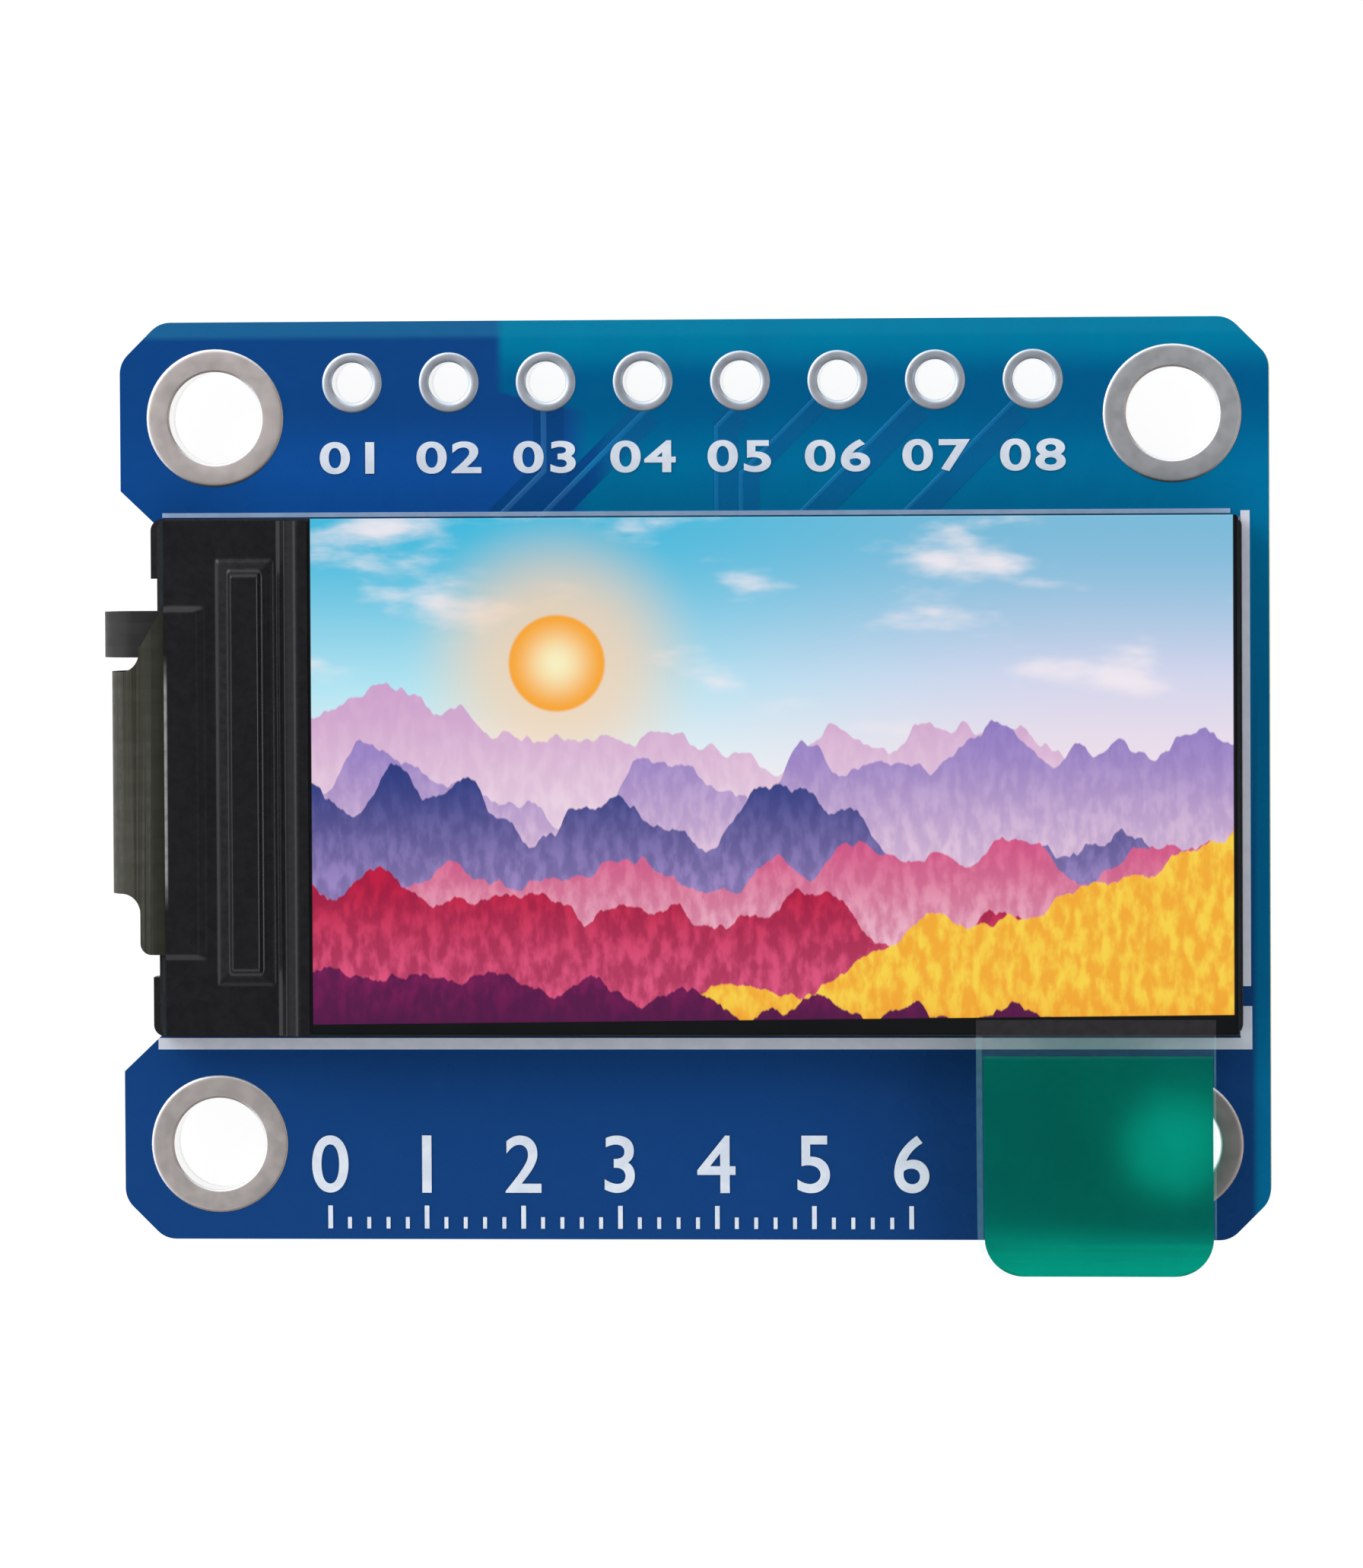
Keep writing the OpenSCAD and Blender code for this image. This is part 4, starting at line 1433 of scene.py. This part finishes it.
@dataclass(frozen=True)
class Track:
    """Track that runs from a header hole down under the panel.

    Attributes:
        pin: Number of the hole, counted from 1 at the left.
        leave: Its start on the hole's ring, seen from the hole's middle.
        width: Its width.
        gap: Width of the band beside it that has no copper.
        gap_x: Distance of that band's middle from the track's, along X.
        drop: Length of a straight run down before it slants to the left.
        slant: Width of the slanted run, or 0 where it slants all the way.
        gap_fall: How far down the band starts, as a share of that distance, to clear the ring.
    """

    pin: int
    leave: Point
    width: float
    gap: float
    gap_x: float
    drop: float = 0.0
    slant: float = 0.0
    gap_fall: float = 0.75

    def path(self, hole: Point, under: float, aside: float = 0.0) -> list[Point]:
        """Corners of the middle line of the track or of its band.

        Args:
            hole: Middle of its hole.
            under: Height on the board where it ends under the panel.
            aside: Distance that the line is set aside along X.

        Returns:
            The corners, from the hole on.
        """
        x, y, fall = hole[0] + self.leave[0] + aside, hole[1] + self.leave[1], self.gap_fall * aside
        if not self.drop:
            x, y = x - fall, y - fall
        corners = [(x, y)]
        if self.drop:
            y -= self.drop
            corners.append((x, y))
        run = self.slant - fall if self.slant else y - under
        corners.append((x - run, y - run))
        if self.slant:
            corners.append((x - run, under))
        return corners


TRACKS = (
    Track(3, (-0.06, -0.68), 0.15, 0.8, 0.13, drop=1.65),
    Track(4, (0.11, -0.72), 0.15, 0.76, 0.12),
    Track(5, (-0.1, -0.68), 0.12, 0.66, 0.25, slant=0.53),
    Track(6, (-0.57, -0.45), 0.12, 0.5, 0.22, slant=1.95),
    Track(7, (-0.5, -0.42), 0.12, 0.6, 0.42),
    Track(8, (-0.46, -0.54), 0.12, 0.6, 0.42),
)


@dataclass(frozen=True)
class Line:
    """Printed line on the board.

    Attributes:
        path: Corners of its middle line.
        width: Its width.
    """

    path: tuple[Point, ...]
    width: float


@dataclass(frozen=True)
class Ruler:
    """Plain printed scale along the board's lower edge.

    Attributes:
        start: Place of its first mark.
        last: Its last number.
        parts: Number of parts between two numbers.
        low: Lower end of the marks.
        high: Upper end of a number's mark.
        part_high: Upper end of a part's mark.
        width: Width of a number's mark.
        part_width: Width of a part's mark.
    """

    start: float = -9.59
    last: int = 6
    parts: int = 5
    low: float = -11.72
    high: float = -11.12
    part_high: float = -11.42
    width: float = 0.12
    part_width: float = 0.1


def ink_finish(name: str, tint: Colour, shade: Colour) -> SurfaceFinish:
    """Finish of one of the board's printing inks, in two colours."""
    return SurfaceFinish(name, tint, shade, gloss=(0.5, 0.6), relief=0.001)


@dataclass
class CarrierBoard:
    """Circuit board with its plated holes, tracks and white print.

    Attributes:
        top: Height of the board's front face.
        pins: Number of header holes.
        pin_pitch: Spacing of the header holes.
        pin_y: Place of the header row.
        pin_eyelet: Plating of a header hole.
        hole_x: Half of the mounting holes' spacing along X.
        hole_y: Half of their spacing along Y.
        hole_eyelet: Plating of a mounting hole.
        track_rise: Height of a track under the mask.
        gap_rise: Thickness of the mask shown over a band without copper, for each pin's number.
        under: Height on the board where the panel hides the tracks.
        ink: Thickness of the print.
        upper_lines: The thin line above the panel's place.
        side_lines: The lines at the right of the panel's place and below it.
        labels: Lettering of the pin numbers.
        numbers: Lettering of the scale's numbers.
        ruler: The scale's marks.
    """

    top: float = 1.2
    pins: int = 8
    pin_pitch: float = 2.54
    pin_y: float = 10.4
    pin_eyelet: Eyelet = Eyelet(hole_r=0.525, ring=0.26, outer_run=0.1, inner_run=0.13)
    hole_x: float = 12.5
    hole_y: float = 9.5
    hole_eyelet: Eyelet = Eyelet(hole_r=1.2, ring=0.6, outer_run=0.12, inner_run=0.08)
    track_rise: float = 0.012
    gap_rise: float = 0.001
    under: float = 6.7
    ink: float = 0.03
    upper_lines: tuple[Line, ...] = (Line(((-13.9, 6.96), (14.0, 6.96)), 0.12),)
    side_lines: tuple[Line, ...] = (
        Line(((14.38, 6.97), (14.38, -5.38)), 0.24),
        Line(((14.38, -5.9), (14.38, -6.875), (-14.1, -6.875)), 0.3),
    )
    labels: Lettering = Lettering(base=8.02, cap=0.84, bold=0.026, spread=1.4)
    numbers: Lettering = Lettering(base=-10.78, cap=1.5, bold=0.02)
    ruler: Ruler = Ruler()

    def build(self, bench: Bench) -> None:
        """Builds the eyelets, the tracks and the print, and dresses the board.

        Args:
            bench: Holds the CAD nodes and takes the pieces.
        """
        # In both tins the colours of the right-hand rings and of the rims' two sides are painted shade and
        # painted highlights.
        hole_tin = TinFinish(
            "tinned_copper",
            face="d6cecb",
            stain="cec6c4",
            cool="c2c4c9",
            dull="ab9fa0",
            bright="f2f4f8",
            dim="928985",
            wall="f6f5f4",
        )
        pin_tin = TinFinish(
            "tinned_pins",
            face="c2c6cf",
            stain="b8bdc8",
            cool="b8bdc5",
            dull="a4a9b2",
            bright="d2dfec",
            dim="868e99",
            wall="f4f5f6",
        )
        gap = MaskFinish(
            "mask_on_laminate",
            left="0a3c74",
            left_foot="0a4788",
            right="085484",
            right_foot="086499",
            pour_top=-2.6,
            pour_low=-2.6,
        )
        track = MaskFinish(
            "mask_on_track", left="205690", left_foot="26629f", right="106498", right_foot="1473ab"
        )
        number_ink = ink_finish("number_print", "dbe3ee", "cfd8e6")
        bench.renew("board", "mask_board", MaskFinish("blue_mask"), Slot.BOARD)
        holes = [(x * self.hole_x, y * self.hole_y) for x in (-1, 1) for y in (-1, 1)]
        eyelets = self.hole_eyelet.build(holes, "mounting_eyelets")
        bench.mount(eyelets, hole_tin, Slot.TINNED_COPPER, "mounting_pads")
        eyelets = self.pin_eyelet.build([self.pin(n) for n in self.row()], "header_eyelets")
        bench.mount(eyelets, pin_tin, Slot.TINNED_COPPER, "header_pads")
        bench.mount(self.gaps(), gap, Slot.BOARD)
        bench.mount(self.tracks(), track, Slot.BOARD)
        upper = self.lines(self.upper_lines, "upper_line_print")
        bench.mount(upper, ink_finish("thin_print", "98b1d2", "8ea8ca"))
        sides = self.lines(self.side_lines, "panel_outline_print")
        bench.mount(sides, ink_finish("line_print", "d6dae6", "cdd2e0"))
        bench.mount(self.pin_numbers(), number_ink)
        bench.mount(self.scale(), number_ink)

    def row(self) -> range:
        """Numbers of the header holes, from 1 at the left."""
        return range(1, self.pins + 1)

    def pin(self, number: int) -> Point:
        """Place of a numbered header hole."""
        return ((number - (self.pins + 1) / 2) * self.pin_pitch, self.pin_y)

    def tracks(self) -> Piece:
        """Models the tracks that run from the header holes down under the panel.

        Returns:
            All tracks as one piece.
        """
        strips = []
        for track in TRACKS:
            path = track.path(self.pin(track.pin), self.under)
            strips.append(strip(path, track.width, self.top, self.track_rise, track.width / 4))
        return joined(strips, "mask_tracks")

    def gaps(self) -> Piece:
        """Models the bands beside the tracks where the mask lies on bare laminate.

        Returns:
            All bands as one piece, each at its own height so that no two share a face.
        """
        strips = []
        for track in TRACKS:
            path = track.path(self.pin(track.pin), self.under, track.gap_x)
            strips.append(strip(path, track.gap, self.top, self.gap_rise * track.pin))
        return joined(strips, "mask_gaps")

    def lines(self, lines: Sequence[Line], name: str) -> Piece:
        """Models printed lines as one piece with the given name."""
        return joined([strip(line.path, line.width, self.top, self.ink) for line in lines], name)

    def pin_numbers(self) -> Piece:
        """Models plain numbers under the header holes."""
        made = [self.labels.digits(f"{n:02d}", self.pin(n)[0], self.top, self.ink) for n in self.row()]
        return joined(made, "pin_numbers_print")

    def mark(self, x: float, high: float, width: float) -> Piece:
        """Models one mark of the scale, at a place, with its upper end and width."""
        return strip([(x, self.ruler.low), (x, high)], width, self.top, self.ink)

    def scale(self) -> Piece:
        """Models a plain scale along the lower edge, one number for each pitch of the header.

        Returns:
            Its numbers and marks as one piece.
        """
        ruler, made = self.ruler, []
        for n in range(ruler.last + 1):
            x = ruler.start + n * self.pin_pitch
            made.append(self.numbers.digits(str(n), x, self.top, self.ink))
            made.append(self.mark(x, ruler.high, ruler.width))
            for k in range(1, ruler.parts if n < ruler.last else 1):
                part = x + k * self.pin_pitch / ruler.parts
                made.append(self.mark(part, ruler.part_high, ruler.part_width))
        return joined(made, "scale_print")


@dataclass
class Backlight:
    """Frame, light guide, films and lamps behind the glass."""

    def build(self, bench: Bench) -> None:
        """Dresses the backlight.

        Args:
            bench: Holds the CAD nodes and takes the pieces.
        """
        frame = SurfaceFinish("black_frame", "161518", "1c1b1e", grain=3.0, relief_grain=18.0, shine=0.3)
        lamp_strip = FlexFinish("lamp_strip", "2a2a2b", "313132", pitch=0.6, middle=3.85)
        foam = SurfaceFinish("foam_tape", "dcdcd4", "c4c4ba", 6.0, (0.8, 0.95), 0.03, 9.0)
        reflector = SurfaceFinish("reflector_film", "f2f2f2", "e4e6e8", 1.0, (0.2, 0.3))
        guide = SurfaceFinish("light_guide", "eaf4f6", "dcecf0", 1.5, (0.05, 0.12), 0.004, 5.0, glass=0.6)
        diffuser = SurfaceFinish("diffuser_film", "f6f6f2", "e8e8e2", 2.0, (0.6, 0.8), 0.006, 14.0)
        ribs = (1.0, 20.0, 1.0)
        prism = SurfaceFinish(
            "prism_film", "e6ebee", "cfd8dd", 2.0, (0.15, 0.3), 0.02, 1.0, glass=0.4, stretch=ribs
        )
        lamps = SurfaceFinish("lamp_resin", "f6f2dc", "e9d98c", 1.6, (0.3, 0.45), 0.004, 10.0)
        tape = SurfaceFinish("rim_tape", "151418", "1e1d21", 4.0, (0.4, 0.55), 0.003, 14.0)
        bench.renew("backlight_frame", "light_frame", frame, Slot.FRAME)
        bench.renew("backlight_flex", "lamp_strip", lamp_strip, Slot.STRIP)
        bench.paint(foam, "foam_tape")
        bench.paint(reflector, "reflector_film")
        bench.paint(guide, "light_guide")
        bench.paint(diffuser, "diffuser_film")
        bench.paint(prism, "prism_film_lower", "prism_film_upper")
        bench.paint(lamps, "backlight_leds")
        bench.paint(tape, "rim_tape")


@dataclass
class ScreenPanel:
    """Glass plates, polarisers and the peel-off film, with the picture that the screen shows.

    Attributes:
        lift: Distance that the upper layers are drawn up to the glass's upper edge.
        film_gap: Distance that the film's skin is drawn in.
    """

    lift: float = 0.1
    film_gap: float = 0.002

    def layer(self, bench: Bench, node: str, name: str, gap: float = 0.0) -> Piece:
        """Copies an upper layer and draws it up to the glass's upper edge.

        Args:
            bench: Holds the CAD nodes.
            node: The layer's CAD node.
            name: Name of the new piece.
            gap: Distance that its skin is drawn in.

        Returns:
            The new piece.
        """
        piece = twin(bench.nodes[node], name, gap)
        with editing(piece):
            pick(piece, lambda co: co.y > 0.0)
            move((0, self.lift * MM, 0))
        return piece

    def build(self, bench: Bench) -> None:
        """Dresses the panel.

        Args:
            bench: Holds the CAD nodes and takes the pieces.
        """
        glass = SurfaceFinish("display_glass", "2c3436", "242b2e", 0.8, (0.04, 0.1), 0.001, 2.0)
        rear = SurfaceFinish("rear_polariser", "2e3036", "26282e", 1.0, (0.25, 0.35))
        film = SurfaceFinish("peel_film", "3c4246", "343a3e", 0.6, (0.06, 0.1), 0.002, 0.7, alpha=0.04)
        bench.paint(glass, "tft_glass", "colour_filter_glass")
        bench.paint(rear, "rear_polariser")
        face = self.layer(bench, "front_polariser", "screen_face")
        bench.mount(face, PictureFinish("lit_screen"), Slot.POLARISER, "front_polariser")
        cover = self.layer(bench, "protective_film", "peel_film", self.film_gap)
        bench.mount(cover, film, Slot.CLEAR_FILM, "protective_film")


@dataclass(frozen=True)
class Ridge:
    """Raised place under the driver tape.

    Attributes:
        x0: Left end.
        x1: Right end.
        y0: Lower end.
        y1: Upper end.
        rise: Height.
        run_x: Run of the tape's slope at its left and right.
        run_y: Run of the tape's slope at its two ends.
    """

    x0: float
    x1: float
    y0: float
    y1: float
    rise: float
    run_x: float
    run_y: float

    def holds(self, place: Vector, share: float) -> bool:
        """Says whether a place in metres is on the ridge's top or within a share of its slopes."""
        x, y, past_x, past_y = place.x / MM, place.y / MM, share * self.run_x, share * self.run_y
        return self.x0 - past_x < x < self.x1 + past_x and self.y0 - past_y < y < self.y1 + past_y

    def around(self, reach: float, rise: float, run: float) -> "Ridge":
        """A wider ridge around this one: how far it stands out, its height and the run of its slopes."""
        return Ridge(self.x0 - reach, self.x1 + reach, self.y0 - reach, self.y1 + reach, rise, run, run)


@dataclass
class DriverEnd:
    """Driver chip under its black tape, and the cable that folds round to the board's back.

    Attributes:
        x0: Left end of the tape.
        x1: Right end of the tape.
        middle_y: Middle of the tape along Y.
        half_h: Half of the tape's height.
        ledge: Height of the ledge that it lies on.
        tape_t: Thickness of the tape.
        step_x: Width of the mesh's cells that the tape is shaped from.
        step_y: Height of those cells.
        lifts: Steps in which each slope is raised.
        worn: Half of the length of the painted highlight along the tape's left edge.
        lip: Place along X where the tape bends down to the screen.
        cable: Raised place over the cable's end.
        chip: Raised place over the chip.
        glass: Raised place over the upper glass.
    """

    x0: float = -13.7
    x1: float = -9.9
    middle_y: float = 0.12
    half_h: float = 6.7
    ledge: float = 2.5
    tape_t: float = 0.05
    step_x: float = 0.025
    step_y: float = 0.05
    lifts: int = 6
    worn: float = 3.4
    lip: float = -10.33
    cable: Ridge = Ridge(x0=-20.0, x1=-12.9, y0=-4.475, y1=4.475, rise=0.1, run_x=0.4, run_y=0.12)
    chip: Ridge = Ridge(x0=-11.93, x1=-11.21, y0=-4.88, y1=5.42, rise=0.185, run_x=0.06, run_y=0.06)
    glass: Ridge = Ridge(x0=-10.52, x1=0.0, y0=-20.0, y1=20.0, rise=0.25, run_x=0.12, run_y=0.12)

    def build(self, bench: Bench) -> None:
        """Builds the tape and dresses the driver end.

        Args:
            bench: Holds the CAD nodes and takes the pieces.
        """
        # The pale grey colour is the painted highlight along the tape's left edge.
        tape = DrapeFinish("driver_tape", "151418", "19181c", "8e8e90", self.x0, self.worn, self.lip)
        chip = SurfaceFinish("silicon", "3a3c44", "32343b", 1.0, (0.08, 0.15), 0.001, 4.0)
        flex = FlexFinish("flex_film", "2a2a1e", "313025", pitch=0.7)
        solder = SurfaceFinish("solder", "c9cacd", "b4b6ba", 4.0, (0.22, 0.4), 0.01, 5.0, metal=1.0)
        pads = SurfaceFinish("plated_pads", "c9b173", "bba264", 4.0, (0.28, 0.42), 0.004, 10.0, metal=1.0)
        bench.mount(self.tape(), tape, Slot.BLACK_TAPE, "driver_tape")
        bench.paint(chip, "driver_chip")
        bench.renew("flex_cable", "folded_flex", flex, Slot.FLEX)
        bench.paint(solder, "flex_solder", "tail_solder", "component_solder")
        bench.paint(pads, "flex_pads", "component_pads")

    def ridges(self) -> tuple[Ridge, ...]:
        """Raised places under the tape, with the creases around the chip and beside the upper glass.

        Returns:
            The ridges, which add up where they overlap.
        """
        return (
            self.cable,
            self.chip,
            self.chip.around(reach=0.06, rise=0.06, run=0.3),
            self.chip.around(reach=0.36, rise=0.035, run=0.05),
            self.glass,
            self.glass.around(reach=0.16, rise=0.05, run=0.05),
            self.glass.around(reach=-0.3, rise=0.03, run=0.05),
        )

    def tape(self) -> Piece:
        """Models the tape draped over the ledge, from a fine flat sheet.

        Returns:
            The tape.
        """
        wide, high = self.x1 - self.x0, 2 * self.half_h
        columns, rows = round(wide / self.step_x), round(high / self.step_y)
        deselect()
        bpy.ops.mesh.primitive_grid_add(x_subdivisions=columns, y_subdivisions=rows, size=1.0)
        piece = named("tape_cover")
        with editing(piece):
            pick_all()
            bpy.ops.transform.resize(value=(wide * MM, high * MM, 1.0))
            move(Vector(((self.x0 + self.x1) / 2, self.middle_y, self.ledge + self.tape_t)) * MM)
            for ridge in self.ridges():
                for k in range(self.lifts):
                    share = 1 - (k + 0.5) / self.lifts
                    pick(piece, lambda co: ridge.holds(co, share))
                    move((0, 0, ridge.rise * MM / self.lifts))
            pick_all()
            bpy.ops.mesh.vertices_smooth(factor=0.5, repeat=2, xaxis=False, yaxis=False)
            bpy.ops.mesh.extrude_region_move(TRANSFORM_OT_translate={"value": (0, 0, -self.tape_t * MM)})
            outward()
        smooth(piece, 50)
        return piece


@dataclass
class PullTab:
    """Clear tape with a green grip film, for peeling the film off the screen.

    Attributes:
        left: Left edge of the grip film.
        right: Right edge of the grip film.
        low: Lower edge of the grip film.
        high: Upper edge of the grip film.
        corner_r: Radius of its lower corners.
        panel_y: Lower edge of the panel that the tape is stuck to.
        gap: Distance that the films' skins are drawn in.
    """

    left: float = 7.61
    right: float = 13.55
    low: float = -12.86
    high: float = -7.1
    corner_r: float = 1.01
    panel_y: float = -6.58
    gap: float = 0.002

    def build(self, bench: Bench) -> None:
        """Dresses the tab.

        Args:
            bench: Holds the CAD nodes and takes the pieces.
        """
        clear = ClearTapeFinish(
            "clear_tape",
            # The pale cyan-green is painted light spilt from the grip film.
            tint="9cecf2",
            glue="f8ecf8",
            left=self.left,
            right=self.right,
            low=self.low,
            high=self.high,
            lap=self.panel_y,
            corner_r=self.corner_r,
        )
        green = SurfaceFinish(
            "green_grip",
            tint="02ae98",
            shade="02a995",
            grain=0.5,
            gloss=(0.95, 1.0),
            relief=0.001,
            relief_grain=4.0,
            glass=0.84,
            bend=1.34,
            shine=0.1,
            cast="00f0c8",
        )
        bench.renew("pull_tab", "peel_tab", clear, Slot.CLEAR_TAPE, self.gap)
        bench.renew("grip_film", "tab_grip", green, Slot.GREEN_FILM, self.gap)


@dataclass
class BackParts:
    """Small parts soldered to the board's back."""

    def build(self, bench: Bench) -> None:
        """Dresses the parts.

        Args:
            bench: Holds the CAD nodes.
        """
        body = SurfaceFinish("moulding_compound", "232326", "2c2c30", 6.0, (0.5, 0.65), 0.006, 20.0)
        leads = SurfaceFinish("tinned_leads", "cfd0d2", "bcbec1", 5.0, (0.25, 0.4), 0.004, 8.0, metal=1.0)
        glaze = SurfaceFinish("black_glaze", "17171a", "202024", 5.0, (0.3, 0.42), 0.003, 12.0)
        ceramic = SurfaceFinish("tan_ceramic", "b1946c", "9d815b", 5.0, (0.5, 0.65), 0.004, 18.0)
        bench.paint(body, "regulator_body", "transistor_body")
        bench.paint(leads, "regulator_leads", "transistor_leads", "resistor_ends", "capacitor_ends")
        bench.paint(glaze, "resistor_1", "resistor_2", "resistor_3")
        bench.paint(ceramic, "capacitor_1", "capacitor_2", "capacitor_3")


def main() -> None:
    """Builds the studio and each sub-assembly in order, and notes the sizes."""
    logging.basicConfig(level=logging.INFO, format="%(message)s")
    bench = Bench()
    Studio().build()
    for assembly in (CarrierBoard(), Backlight(), ScreenPanel(), DriverEnd(), PullTab(), BackParts()):
        LOG.info("sub-assembly %s", type(assembly).__name__)
        assembly.build(bench)


if __name__ == "__main__":
    main()
